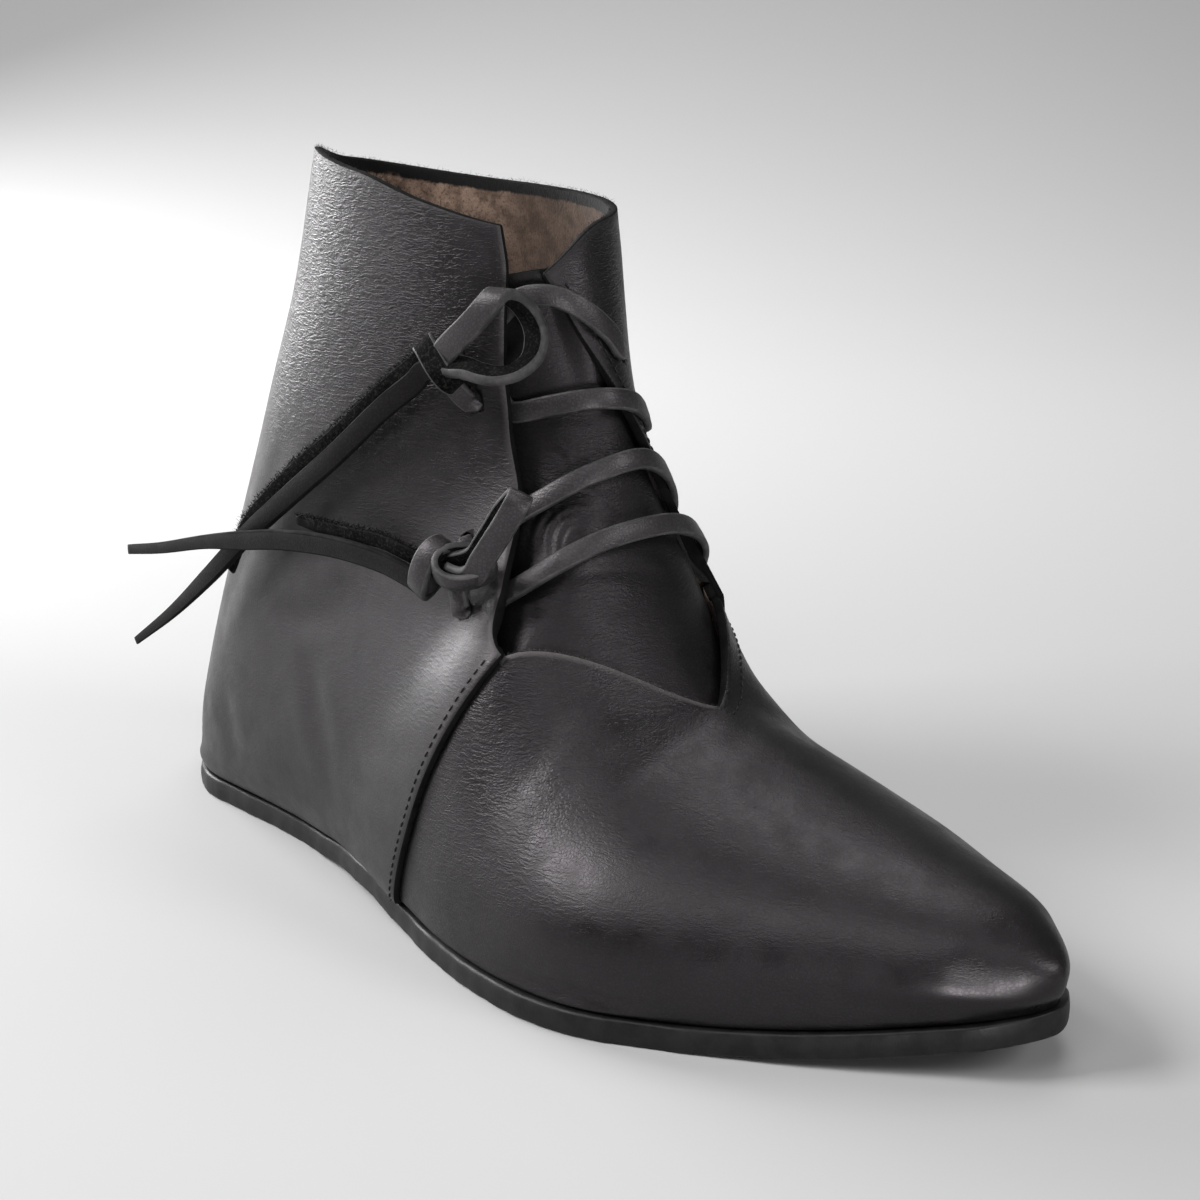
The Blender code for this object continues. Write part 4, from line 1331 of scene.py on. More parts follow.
@dataclass
class Upper:
    """Vamp and quarters, sewn with a lapped seam."""

    finishes: Finishes
    quarter_rows: int = 144
    quarter_columns: int = 80
    vamp_rows: int = 112
    vamp_columns: int = 64
    throat_columns: int = 16
    lap: float = 0.18
    slot_length: float = 6.6
    slot_width: float = 3.6
    slot_points: int = 20
    cutter_reach: float = 3.0
    edge_bulge: float = 0.35
    lap_bulge: float = 0.1
    lap_cover: float = 0.05
    plain_wrinkle: float = 0.16
    shaft_heights: Tuple[float, float] = (95.0, 145.0)
    # Painted highlight along the outer slit's and the throat's edges, and painted shade on the inner
    # quarter's lining.
    slit_painted_highlight: float = 0.22
    throat_painted_highlight: float = 0.7
    lining_painted_shade: float = 0.80

    def __post_init__(self) -> None:
        """Lays the creases."""
        self.creases = CreaseField(UPPER_CREASES)

    def build(self) -> List[Piece]:
        """Makes the quarters and the vamp."""
        return [self.quarters(), self.vamp()]

    def quarters(self) -> Piece:
        """Both quarters, joined at the back, with their lace slots.

        Returns:
            The piece.
        """
        draft = MeshDraft()
        u = np.linspace(FORM.seam_row, FORM.collar_row, self.quarter_rows + 1)
        corner = int(np.argmin(np.abs(u - FORM.heel_corner_row)))
        share = np.linspace(0, 1, self.quarter_columns + 1)
        for inner in (False, True):
            rows, shares = np.meshgrid(u, share, indexing="ij")
            places, turns = FORM.quarter_places(rows, shares, inner)
            plain = FORM.point(places, turns, inner)
            folds = self.creases.at(plain)
            outside = FORM.lifted(places, turns, inner, FORM.quarter_step(places) + folds)
            lap_end = FORM.seam_row + self.lap
            sunk = soft_step(lap_end + 0.02, lap_end + 0.4, rows)
            under = self.lap_cover - (FORM.wall + self.lap_cover) * sunk
            inside = FORM.lifted(places, turns, inner, under + folds)
            from_collar = run_length(plain[::-1], 0)[::-1]
            from_slit = run_length(plain[:, ::-1], 1)[:, ::-1]
            edge = np.minimum(from_collar, from_slit)
            calm = 0.3 + 0.7 * soft_step(4.0, 28.0, from_slit)
            shaft = soft_step(*self.shaft_heights, plain[..., 2])
            wrinkle = self.plain_wrinkle + (1 - self.plain_wrinkle) * shaft * calm
            # Painted highlight along the outer quarter's slit edge.
            wear = np.zeros(edge.shape) if inner else self.slit_painted_highlight * (1 - soft_step(0.1, 0.7, from_slit))
            marks = {"rim": 1 - soft_step(0.4, 2.6, edge), "wrinkle": wrinkle, "wear": wear}
            front = draft.add(outside, **marks)
            reach = 4.0 + (5.0 * soft_step(0.55, 0.9, shares) if inner else 0.0)
            from_top = 1 - soft_step(0.4 * reach, reach, from_collar)
            bleed = np.maximum(from_top, 1 - soft_step(4.0, 9.0, from_slit))
            # Painted shade on the inner quarter's lining, darker towards the slit.
            painted_shade = self.lining_painted_shade * soft_step(0.16, 0.46, shares) if inner else 0.0
            back = draft.add(inside, bleed=bleed, wear=painted_shade)
            draft.grid(front, Face.GRAIN)
            draft.grid(back, Face.FLESH)
            rim(draft, front[-1], outside[-2], back[-1], self.edge_bulge)
            rim(draft, front[:, -1], outside[:, -2], back[:, -1], self.edge_bulge)
            rim(draft, front[0], outside[1], back[0], self.edge_bulge)
            draft.strip(front[: corner + 1, 0], back[: corner + 1, 0], Face.EDGE)
        piece = draft.build("quarters", self.finishes.of("upper", "lining", "cut"))
        self.cut_slots(piece)
        return finished(piece, ["upper"])

    def cut_slots(self, piece: Piece) -> None:
        """Cuts the eight lace slots.

        Args:
            piece: the quarters.
        """
        draft = MeshDraft()
        angles = np.linspace(0, 2 * np.pi, self.slot_points, endpoint=False)
        for slot in OUTER_SLOTS + INNER_SLOTS:
            up, across, normal, _ = surface_directions(slot.row, slot.turn)
            middle = FORM.point(slot.row, slot.turn, False)
            ring = np.outer(np.cos(angles), up) * self.slot_length / 2
            ring = ring + np.outer(np.sin(angles), across) * self.slot_width / 2
            low = draft.add(middle + ring - normal * (FORM.wall + self.cutter_reach))
            high = draft.add(middle + ring + normal * (FORM.seam_step + self.cutter_reach))
            draft.strip(np.append(low, low[0]), np.append(high, high[0]), Face.EDGE)
            draft.cap(low, Face.EDGE)
            draft.cap(high, Face.EDGE)
        cutter = draft.build("slot_cutter", self.finishes.of("upper", "lining", "cut"))
        cut = piece.modifiers.new("slots", "BOOLEAN")
        cut.operation = "DIFFERENCE"
        cut.solver = "EXACT"
        cut.object = cutter
        applied(piece)
        bpy.data.objects.remove(cutter)

    def vamp(self) -> Piece:
        """Vamp, with its free arm over the throat and its lap under the quarters.

        Returns:
            The piece.
        """
        draft = MeshDraft()
        main_rows = np.linspace(0, FORM.seam_row, self.vamp_rows + 1)
        lap_rows = np.linspace(FORM.seam_row, FORM.seam_row + self.lap, 6)[1:]
        share = np.linspace(0, 1, self.vamp_columns + 1)
        over = np.linspace(0, 1, self.throat_columns + 1)
        for inner in (False, True):
            rows, shares = np.meshgrid(np.append(main_rows, lap_rows), share, indexing="ij")
            side = self.sheet(draft, rows, FORM.slit_turn(rows, inner) * shares, inner)
            rows, overs = np.meshgrid(main_rows, over, indexing="ij")
            places, turns = FORM.vamp_places(rows, overs, inner)
            throat = self.sheet(draft, places, turns, inner, scuff_and_highlight=not inner)
            draft.strip(side[0][:, 0], side[1][:, 0], Face.EDGE)
            rim(draft, side[0][-1], side[2][-2], side[1][-1], self.lap_bulge)
            rim(draft, throat[0][-1], throat[2][-2], throat[1][-1], self.edge_bulge)
            lap = slice(self.vamp_rows, None)
            draft.strip(side[0][lap, -1], side[1][lap, -1], Face.EDGE)
        piece = draft.build("vamp", self.finishes.of("upper", "lining", "cut"))
        return finished(piece, ["upper"])

    def sheet(
        self, draft: MeshDraft, rows: Array, turns: Array, inner: bool, scuff_and_highlight: bool = False
    ) -> Tuple[Array, Array, Array]:
        """Drafts one part of the vamp.

        Args:
            draft: mesh to add to.
            rows: row numbers of the grid.
            turns: turns of the grid.
            inner: side of the boot.
            scuff_and_highlight: whether its upper edge gets a painted highlight.

        Returns:
            Indices of the outer and the inner face, and the outer face's points.
        """
        plain = FORM.point(rows, turns, inner)
        folds = self.creases.at(plain)
        outside = FORM.lifted(rows, turns, inner, folds)
        from_throat = run_length(plain[::-1], 0)[::-1]
        # Painted highlight along the outer arm's throat edge.
        wear = self.throat_painted_highlight * (1 - soft_step(0.15, 0.75, from_throat)) if scuff_and_highlight else 0.0
        past_toe = np.maximum(soft_step(0.5, 2.4, rows), soft_step(1.0, 1.3, turns))
        wrinkle = 0.18 * past_toe + 0.25 * soft_step(4.0, 5.5, rows)
        front = draft.add(outside, wrinkle=wrinkle, wear=wear)
        back = draft.add(FORM.lifted(rows, turns, inner, folds - FORM.wall))
        draft.grid(front, Face.GRAIN)
        draft.grid(back, Face.FLESH)
        return front, back, outside


def surface_directions(u: float, turn: float) -> Tuple[Array, Array, Array, float]:
    """Directions on the upper at a place.

    Args:
        u: row number.
        turn: turn from the outer side.

    Returns:
        The way up along the slit, the way across it, the outward way, and the length of one turn.
    """
    step = 0.03
    up = FORM.point(min(u + step, FORM.collar_row), turn, False) - FORM.point(u - step, turn, False)
    across = FORM.point(u, turn + step, False) - FORM.point(u, turn - step, False)
    scale = float(np.linalg.norm(across)) / (2 * step)
    across = unit(across)
    up = unit(up - across * (up @ across))
    return up, across, FORM.normal(u, turn, False), scale


def join(tree: Tree, *links: Tuple[Node, object, Node, object]) -> None:
    """Links outputs to inputs, each given as a node, its output, the other node and its input."""
    for source, output, target, entry in links:
        tree.links.new(source.outputs[output], target.inputs[entry])


class PathTrees:
    """Geometry Nodes trees that set small things along a path."""

    def __init__(self) -> None:
        """Makes both trees."""
        self.stitches = self.stitch_tree()
        self.fibres = self.fibre_tree()

    @staticmethod
    def start(name: str, sizes: Sequence[str]) -> Tuple[Tree, Node, Node]:
        """Starts a tree with a path, named sizes and a material as its inputs.

        Args:
            name: name of the tree.
            sizes: names of its sizes.

        Returns:
            The tree, its input node and its output node.
        """
        tree = bpy.data.node_groups.new(name, "GeometryNodeTree")
        tree.interface.new_socket("Geometry", in_out="INPUT", socket_type="NodeSocketGeometry")
        for size in sizes:
            tree.interface.new_socket(size, in_out="INPUT", socket_type="NodeSocketFloat")
        tree.interface.new_socket("Seed", in_out="INPUT", socket_type="NodeSocketInt")
        tree.interface.new_socket("Material", in_out="INPUT", socket_type="NodeSocketMaterial")
        tree.interface.new_socket("Geometry", in_out="OUTPUT", socket_type="NodeSocketGeometry")
        return tree, tree.nodes.new("NodeGroupInput"), tree.nodes.new("NodeGroupOutput")

    @staticmethod
    def points(tree: Tree, given: Node) -> Node:
        """Points at even spacing along the path.

        Args:
            tree: tree that is built.
            given: the tree's input node.

        Returns:
            The node that gives the points.
        """
        curve = tree.nodes.new("GeometryNodeMeshToCurve")
        points = tree.nodes.new("GeometryNodeCurveToPoints")
        points.mode = "LENGTH"
        join(
            tree,
            (given, "Geometry", curve, "Mesh"),
            (curve, "Curve", points, "Curve"),
            (given, "Spacing", points, "Length"),
        )
        return points

    @staticmethod
    def end(tree: Tree, given: Node, instances: Node, out: Node) -> None:
        """Makes the instances real and gives them their material.

        Args:
            tree: tree that is built.
            given: the tree's input node.
            instances: node that gives the instances.
            out: the tree's output node.
        """
        real = tree.nodes.new("GeometryNodeRealizeInstances")
        smooth = tree.nodes.new("GeometryNodeSetShadeSmooth")
        dress = tree.nodes.new("GeometryNodeSetMaterial")
        join(
            tree,
            (instances, "Instances", real, "Geometry"),
            (real, "Geometry", smooth, "Geometry"),
            (smooth, "Geometry", dress, "Geometry"),
            (given, "Material", dress, "Material"),
            (dress, "Geometry", out, "Geometry"),
        )

    def stitch_tree(self) -> Tree:
        """Short rounded stitches that lie along the path.

        Returns:
            The tree.
        """
        tree, given, out = self.start("stitch_run", ("Spacing", "Length", "Radius"))
        points = self.points(tree, given)
        ball = tree.nodes.new("GeometryNodeMeshUVSphere")
        ball.inputs["Segments"].default_value = 8
        ball.inputs["Rings"].default_value = 6
        ball.inputs["Radius"].default_value = 1.0
        size = tree.nodes.new("ShaderNodeCombineXYZ")
        half = tree.nodes.new("ShaderNodeMath")
        half.operation = "MULTIPLY"
        half.inputs[1].default_value = 0.5
        shape = tree.nodes.new("GeometryNodeTransform")
        place = tree.nodes.new("GeometryNodeInstanceOnPoints")
        join(
            tree,
            (given, "Length", half, 0),
            (given, "Radius", size, "X"),
            (given, "Radius", size, "Y"),
            (half, 0, size, "Z"),
            (ball, "Mesh", shape, "Geometry"),
            (size, "Vector", shape, "Scale"),
            (points, "Points", place, "Points"),
            (points, "Rotation", place, "Rotation"),
            (shape, "Geometry", place, "Instance"),
        )
        self.end(tree, given, place, out)
        return tree

    def fibre_tree(self) -> Tree:
        """Fine loose fibres that stand off the path at chance angles.

        Returns:
            The tree.
        """
        tree, given, out = self.start("edge_fibres", ("Spacing", "Length", "Radius", "Spread"))
        points = self.points(tree, given)
        moved = tree.nodes.new("GeometryNodeSetPosition")
        shift = self.chance(tree, given, (-1.0, -1.0, -1.0), (1.0, 1.0, 1.0), 1)
        scaled = tree.nodes.new("ShaderNodeVectorMath")
        scaled.operation = "SCALE"
        hair = tree.nodes.new("GeometryNodeMeshCone")
        hair.inputs["Vertices"].default_value = 4
        hair.inputs["Radius Top"].default_value = 0.0
        turn = self.chance(tree, given, (-1.25, -1.25, 0.0), (1.25, 1.25, 6.28), 2)
        size = self.chance(tree, given, (0.8, 0.8, 0.3), (1.0, 1.0, 1.0), 3)
        place = tree.nodes.new("GeometryNodeInstanceOnPoints")
        join(
            tree,
            (shift, 0, scaled, 0),
            (given, "Spread", scaled, "Scale"),
            (points, "Points", moved, "Geometry"),
            (scaled, 0, moved, "Offset"),
            (given, "Radius", hair, "Radius Bottom"),
            (given, "Length", hair, "Depth"),
            (moved, "Geometry", place, "Points"),
            (hair, "Mesh", place, "Instance"),
            (turn, 0, place, "Rotation"),
            (size, 0, place, "Scale"),
        )
        self.end(tree, given, place, out)
        return tree

    @staticmethod
    def chance(tree: Tree, given: Node, low: Triple, high: Triple, more: int) -> Node:
        """Chance vectors between two corners, from the seed and a number of their own.

        Args:
            tree: tree that is built.
            given: the tree's input node.
            low: lowest vector.
            high: highest vector.
            more: number that is added to the seed.

        Returns:
            The node that gives the vectors.
        """
        node = tree.nodes.new("FunctionNodeRandomValue")
        node.data_type = "FLOAT_VECTOR"
        node.inputs[0].default_value = low
        node.inputs[1].default_value = high
        seed = tree.nodes.new("ShaderNodeMath")
        seed.operation = "ADD"
        seed.inputs[1].default_value = more
        join(
            tree,
            (given, "Seed", seed, 0),
            (seed, 0, node, "Seed"),
        )
        return node

    @staticmethod
    def make(name: str, tree: Tree, paths: Sequence[Array], values: Dict[str, object]) -> Piece:
        """Runs a tree along paths.

        Args:
            name: name of the piece.
            tree: the tree.
            paths: points of each path in the boot frame.
            values: the tree's inputs, sizes in millimetres.

        Returns:
            The piece as a plain mesh.
        """
        points, edges = [], []
        for path in paths:
            start = len(points)
            points += [tuple(place) for place in FORM.world(path)]
            edges += [(start + k, start + k + 1) for k in range(len(path) - 1)]
        mesh = bpy.data.meshes.new(name)
        mesh.from_pydata(points, edges, [])
        piece = bpy.data.objects.new(name, mesh)
        bpy.context.scene.collection.objects.link(piece)
        modifier = piece.modifiers.new("along_path", "NODES")
        modifier.node_group = tree
        for item in tree.interface.items_tree:
            if item.item_type == "SOCKET" and item.in_out == "INPUT" and item.name in values:
                value = values[item.name]
                modifier[item.identifier] = value * MM if isinstance(value, float) else value
        return applied(piece)


@dataclass
class Trim:
    """Stitches of the seams and loose fibres of cut edges."""

    finishes: Finishes
    trees: PathTrees
    stitch_spacing: float = 2.6
    stitch_length: float = 1.7
    stitch_radius: float = 0.27
    seam_margin: float = 2.4
    slit_margin: float = 3.4
    fibre_radius: float = 0.05
    stitch_lift: float = 0.10
    seam_shares: Tuple[float, float] = (0.04, 0.965)
    arm_shares: Tuple[float, float] = (0.02, 0.9)
    tongue_rows: Tuple[float, float] = (6.25, 13.3)
    arm_row: float = 5.78
    throat_depth: float = 0.3

    def __post_init__(self) -> None:
        """Lays the creases that the stitches follow."""
        self.creases = CreaseField(UPPER_CREASES)

    def on_leather(self, rows: Array, turns: Array, inner: bool, step: Array) -> Array:
        """Points of a stitch line on the creased leather, a given step above the plain form."""
        folds = self.creases.at(FORM.point(rows, turns, inner))
        return FORM.lifted(rows, turns, inner, step + folds + self.stitch_lift)

    def build(self) -> None:
        """Makes the stitches and the fibres."""
        trees = self.trees
        lines = [self.seam_line(False), self.seam_line(True), self.slit_line(), self.arm_line()]
        stitches = trees.make("seam_stitches", trees.stitches, lines, {
            "Spacing": self.stitch_spacing, "Length": self.stitch_length, "Radius": self.stitch_radius,
            "Seed": 1, "Material": self.finishes.of("thread")[0],
        })
        finished(stitches, [])
        edges = [self.collar_line(False), self.collar_line(True)]
        collar = trees.make("collar_fibres", trees.fibres, edges, {
            "Spacing": 0.16, "Length": 1.3, "Radius": self.fibre_radius, "Spread": 0.8,
            "Seed": 3, "Material": self.finishes.of("cut")[0],
        })
        finished(collar, [])
        # The throat's fibres are pale: a painted highlight along that edge.
        throat = trees.make("throat_fibres", trees.fibres, [self.throat_line()], {
            "Spacing": 0.12, "Length": 0.9, "Radius": self.fibre_radius, "Spread": 0.4,
            "Seed": 5, "Material": self.finishes.of("scuff_and_highlight")[0],
        })
        finished(throat, [])

    def seam_line(self, inner: bool) -> Array:
        """Line of stitches behind the quarter's front edge.

        Args:
            inner: whether on the inner side.

        Returns:
            Points in the boot frame.
        """
        share = np.linspace(*self.seam_shares, 90)
        near, turns = FORM.quarter_places(np.full(share.shape, FORM.seam_row), share, inner)
        step = 0.2
        ahead = FORM.point(near + step, turns, inner) - FORM.point(near, turns, inner)
        pace = np.linalg.norm(ahead, axis=1) / step
        rows = near + self.seam_margin / pace
        turns = FORM.slit_turn(rows, inner) * share
        return self.on_leather(rows, turns, inner, FORM.quarter_step(rows))

    def slit_line(self) -> Array:
        """Line of stitches that holds the tongue to the inner quarter.

        Returns:
            Points in the boot frame.
        """
        rows = np.linspace(*self.tongue_rows, 90)
        edge = FORM.slit_turn(rows, True)
        step = 0.05
        aside = FORM.point(rows, edge - step, True) - FORM.point(rows, edge, True)
        pace = np.linalg.norm(aside, axis=1) / step
        return self.on_leather(rows, edge - self.slit_margin / pace, True, FORM.quarter_step(rows))

    def arm_line(self) -> Array:
        """Line of stitches that holds the tongue to the vamp's inner arm.

        Returns:
            Points in the boot frame.
        """
        over = np.linspace(*self.arm_shares, 40)
        rows, turns = FORM.vamp_places(np.full(over.shape, self.arm_row), over, True)
        return self.on_leather(rows, turns, True, np.zeros(over.shape))

    def collar_line(self, inner: bool) -> Array:
        """Middle of the collar's cut edge.

        Args:
            inner: whether on the inner side.

        Returns:
            Points in the boot frame.
        """
        share = np.linspace(0, 1, 120)
        rows, turns = FORM.quarter_places(np.full(share.shape, FORM.collar_row), share, inner)
        return FORM.lifted(rows, turns, inner, np.full(share.shape, -FORM.wall / 2))

    def throat_line(self) -> Array:
        """Upper edge of the vamp's free outer arm.

        Returns:
            Points in the boot frame.
        """
        over = np.linspace(0, 1, 60)
        rows, turns = FORM.vamp_places(np.full(over.shape, FORM.seam_row), over, False)
        return FORM.lifted(rows, turns, False, np.full(over.shape, -self.throat_depth))


@dataclass
class Tongue:
    """Sheet under the front slit."""

    finishes: Finishes
    rows: int = 190
    columns: int = 110
    top: float = 13.75
    thickness: float = 1.4
    gap: float = 0.9
    lace_room: float = 3.2
    vamp_room: float = 1.4
    edge_bulge: float = 0.2
    inner_lap: float = 0.11
    creased_rows: Rows = (7.0, 8.2, 8.6, 9.6)

    def build(self) -> Piece:
        """Makes the tongue with its fine creases.

        Returns:
            The piece.
        """
        draft = MeshDraft()
        ups, steps = np.linspace(0, 1, self.rows + 1), np.linspace(0, 1, self.columns + 1)
        up, across = np.meshgrid(ups, steps, indexing="ij")
        away = np.abs(2 * across - 1)
        low = FORM.notch_row - 0.45 + 0.95 * away ** 0.8
        u = low + (self.top - low) * up
        lap = 0.02 + 0.24 * (1 - soft_step(FORM.seam_row + 1, self.top, u))
        outer = FORM.slit_turn(u, False) - lap
        inner = 4 - FORM.slit_turn(u, True) + self.inner_lap
        turn = outer + (inner - outer) * across
        free = 1 - soft_step(0.55, 0.95, across)
        lowered = self.lace_room * free * soft_step(FORM.notch_row, FORM.seam_row + 0.6, u)
        under_vamp = self.vamp_room * (1 - soft_step(FORM.notch_row, FORM.seam_row + 0.4, u))
        depth = FORM.wall + self.gap + lowered + under_vamp
        folds = CreaseField(TONGUE_CREASES).at(FORM.point(u, turn, False))
        outside = FORM.lifted(u, turn, False, folds - depth)
        edge = np.minimum(run_length(outside[::-1], 0)[::-1], run_length(outside, 1))
        first, second, third, fourth = self.creased_rows
        wrinkle = 0.25 + 0.35 * soft_step(first, second, u) * (1 - soft_step(third, fourth, u))
        front = draft.add(outside, wrinkle=wrinkle, rim=1 - soft_step(0.3, 2.0, edge))
        inside = FORM.lifted(u, turn, False, folds - depth - self.thickness)
        back = draft.add(inside, bleed=1 - soft_step(1.0, 5.0, edge))
        draft.grid(front, Face.GRAIN)
        draft.grid(back, Face.FLESH)
        rim(draft, front[-1], outside[-2], back[-1], self.edge_bulge)
        rim(draft, front[:, 0], outside[:, 1], back[:, 0], self.edge_bulge)
        draft.strip(front[0], back[0], Face.EDGE)
        draft.strip(front[:, -1], back[:, -1], Face.EDGE)
        piece = draft.build("tongue_sheet", self.finishes.of("tongue", "lining", "cut"))
        return finished(piece, ["tongue"])


@dataclass
class Sole:
    """Outsole, with an uneven hand-cut edge, and the insole."""

    finishes: Finishes
    step: float = 1.6
    end_reach: float = 33.0
    unevenness: float = 0.22
    rounding: float = 1.0

    def build(self) -> Piece:
        """Makes the outsole and dresses the insole.

        Returns:
            The outsole.
        """
        slots = bpy.data.objects["insole"].material_slots
        slots[0].material = self.finishes.of("lining")[0]
        draft = MeshDraft()
        length = FORM.sole_length - 0.1
        near = self.end_reach * (1 - np.cos(np.linspace(0, np.pi / 2, 40)))
        middle = np.arange(self.end_reach, length - self.end_reach, self.step)[1:]
        stations = np.concatenate([near, middle, length - near[::-1]]) + 0.05
        angles = np.linspace(0, np.pi / 2, 5)
        corner = np.stack([np.sin(angles) - 1, 1 - np.cos(angles)], axis=1) * self.rounding
        thick = FORM.sole_thickness
        profile = [(x, z) for x, z in corner]
        profile += [(0.12, thick * 0.35), (0.15, thick * 0.5), (0.05, thick * 0.7)]
        profile += [(x - 0.15, thick - z) for x, z in corner[::-1]]
        outer, inner = FORM.sole_edge(stations, False), FORM.sole_edge(stations, True)
        centre, half = (outer + inner) / 2, (outer - inner) / 2
        wave = np.sin(stations * 0.31) * 0.5 + np.sin(stations * 0.83 + 1.3) * 0.3
        wave = wave + np.sin(stations * 1.9 + 0.4) * 0.2
        fade = np.clip(half / 12.0, 0, 1)
        rings = []
        for way in (1, -1):
            columns = []
            for x, z in profile:
                reach = np.maximum(half + x * np.clip(half, 0, 1) + self.unevenness * wave * way * fade, 0)
                height = FORM.sole_bottom(stations) + z
                columns.append(np.stack([stations, centre + way * reach, height], axis=-1))
            rings += columns if way > 0 else columns[::-1]
        index = draft.add(np.stack(rings, axis=1))
        closed = np.concatenate([index, index[:, :1]], axis=1)
        draft.grid(closed, Face.GRAIN)
        draft.cap(index[0], Face.GRAIN)
        draft.cap(index[-1], Face.GRAIN)
        piece = draft.build("hand_cut_sole", self.finishes.of("sole"))
        return finished(piece, ["outsole"])


class Ring(NamedTuple):
    """Wrap of a knot: middle and half axes in the boot frame, share of the section, and side that is out."""

    middle: Triple
    first: Triple
    second: Triple
    share: float
    flesh_out: bool


class Knot(NamedTuple):
    """Knot of a lace: where its strands and its ends come together, and its wraps."""

    strands: LacePoint
    root: Triple
    rings: Tuple[Ring, ...]


UNDER = -3.9
OVER = 1.4
INNER_OVER = 1.0
CLOSE = 1.05
STRANDS = (
    (
        LacePoint(13.00, 1.56, UNDER),
        LacePoint(13.25, 1.64, -2.8),
        LacePoint(13.25, 1.73, 0.4),
        LacePoint(13.05, 1.82, OVER),
        LacePoint(12.60, 1.92, OVER + 0.2),
        LacePoint(12.00, 2.02, OVER),
    ),
    (
        LacePoint(11.00, 1.62, UNDER),
        LacePoint(10.60, 1.73, -2.6),
        LacePoint(10.25, 1.86, -0.4),
        LacePoint(10.00, 1.98, 0.9),
        LacePoint(9.85, 2.08, CLOSE),
        LacePoint(9.70, 2.18, CLOSE),
    ),
    (
        LacePoint(8.40, 1.58, UNDER),
        LacePoint(8.25, 1.70, -3.0),
        LacePoint(8.10, 1.88, -0.8),
        LacePoint(8.10, 2.06, 0.7),
        LacePoint(7.95, 2.20, CLOSE),
        LacePoint(7.80, 2.33, CLOSE),
    ),
    (
        LacePoint(7.05, 1.49, UNDER),
        LacePoint(6.80, 1.62, -3.0),
        LacePoint(6.55, 1.78, -1.6),
        LacePoint(6.45, 1.98, 0.4),
        LacePoint(6.50, 2.20, CLOSE),
        LacePoint(6.60, 2.42, 2.0),
    ),
)

UPPER_KNOT = Knot(
    LacePoint(12.4, 1.46, 4.6),
    (132.5, 33.0, 138.0),
    (Ring((132.0, 32.8, 138.0), (3.9, -1.6, -4.4), (1.8, 2.9, 0.4), 1.15, True),),
)
LOWER_KNOT = Knot(
    LacePoint(7.75, 1.45, 4.6),
    (141.0, 41.5, 92.0),
    (
        Ring((138.8, 42.0, 91.6), (3.2, -0.8, 6.2), (0.6, 4.2, 0.0), 1.1, False),
        Ring((148.5, 40.3, 93.4), (5.1, -4.6, 0.0), (2.8, 3.0, -2.8), 0.9, False),
    ),
)

UPPER_LOOP = (
    LoopPoint((135.7, 34.0, 141.9), (0.63, -0.30, -0.73)),
    LoopPoint((139.4, 34.0, 145.0), (0.63, -0.30, -0.73)),
    LoopPoint((143.7, 33.5, 148.6), (0.66, -0.28, -0.68)),
    LoopPoint((147.8, 32.0, 153.1), (0.80, -0.20, -0.45)),
    LoopPoint((149.1, 29.6, 156.0), (0.94, -0.15, -0.05)),
    LoopPoint((148.8, 25.1, 154.8), (0.98, -0.12, 0.17)),
    LoopPoint((148.8, 21.1, 151.7), (0.98, -0.12, 0.17)),
    LoopPoint((149.1, 18.6, 147.8), (0.98, -0.12, 0.17)),
    LoopPoint((149.7, 18.4, 144.0), (0.98, -0.12, 0.17)),
    LoopPoint((150.6, 20.7, 140.2), (0.96, 0.0, 0.10)),
    LoopPoint((150.6, 25.6, 137.7), (0.90, 0.30, -0.10)),
    LoopPoint((148.3, 29.6, 137.0), (0.75, 0.55, -0.30)),
    LoopPoint((145.0, 31.6, 137.4), (0.68, 0.64, -0.35)),
    LoopPoint((141.0, 32.8, 138.2), (0.68, 0.64, -0.35)),
)
LOWER_LOOP_WAY = (0.75, -0.53, -0.42)
LOWER_LOOP_PLACES = (
    (152.4, 41.5, 92.2), (155.4, 41.0, 96.2), (158.5, 40.5, 100.5),
    (161.5, 40.0, 104.7), (164.0, 39.5, 108.5), (165.3, 38.6, 111.5),
    (164.6, 37.0, 112.6), (161.6, 35.8, 111.2), (157.2, 35.4, 107.2),
    (154.8, 36.2, 103.2), (152.3, 37.2, 99.1), (149.8, 38.4, 95.3),
)
LOWER_LOOP = tuple(LoopPoint(place, LOWER_LOOP_WAY) for place in LOWER_LOOP_PLACES)
UPPER_LONG_END = (
    ThongPoint(127.0, 34.2, 135.3, 10.0, 1.05),
    ThongPoint(124.4, 35.0, 132.4, 10.0, 1.08),
    ThongPoint(115.6, 37.5, 125.3, 8.0, 1.08),
    ThongPoint(99.8, 40.0, 111.8, 4.0, 1.08),
    ThongPoint(82.5, 41.5, 98.7, 0.0, 1.06),
    ThongPoint(65.4, 43.0, 85.4, -4.0, 1.02),
    ThongPoint(49.3, 44.0, 71.7, -6.0, 0.92),
    ThongPoint(31.9, 44.3, 58.2, -4.0, 0.66),
    ThongPoint(13.0, 44.3, 45.6, 0.0, 0.42),
)
UPPER_SHORT_END = (
    ThongPoint(126.0, 32.4, 139.0, 0.0, 0.80),
    ThongPoint(122.0, 33.6, 136.0, 4.0, 0.80),
    ThongPoint(113.9, 35.2, 129.6, 8.0, 0.80),
    ThongPoint(98.2, 37.4, 116.6, 10.0, 0.82),
    ThongPoint(80.8, 39.0, 103.6, 10.0, 0.82),
    ThongPoint(62.8, 40.2, 87.8, 6.0, 0.75),
    ThongPoint(54.6, 40.9, 73.6, 4.0, 0.55),
)
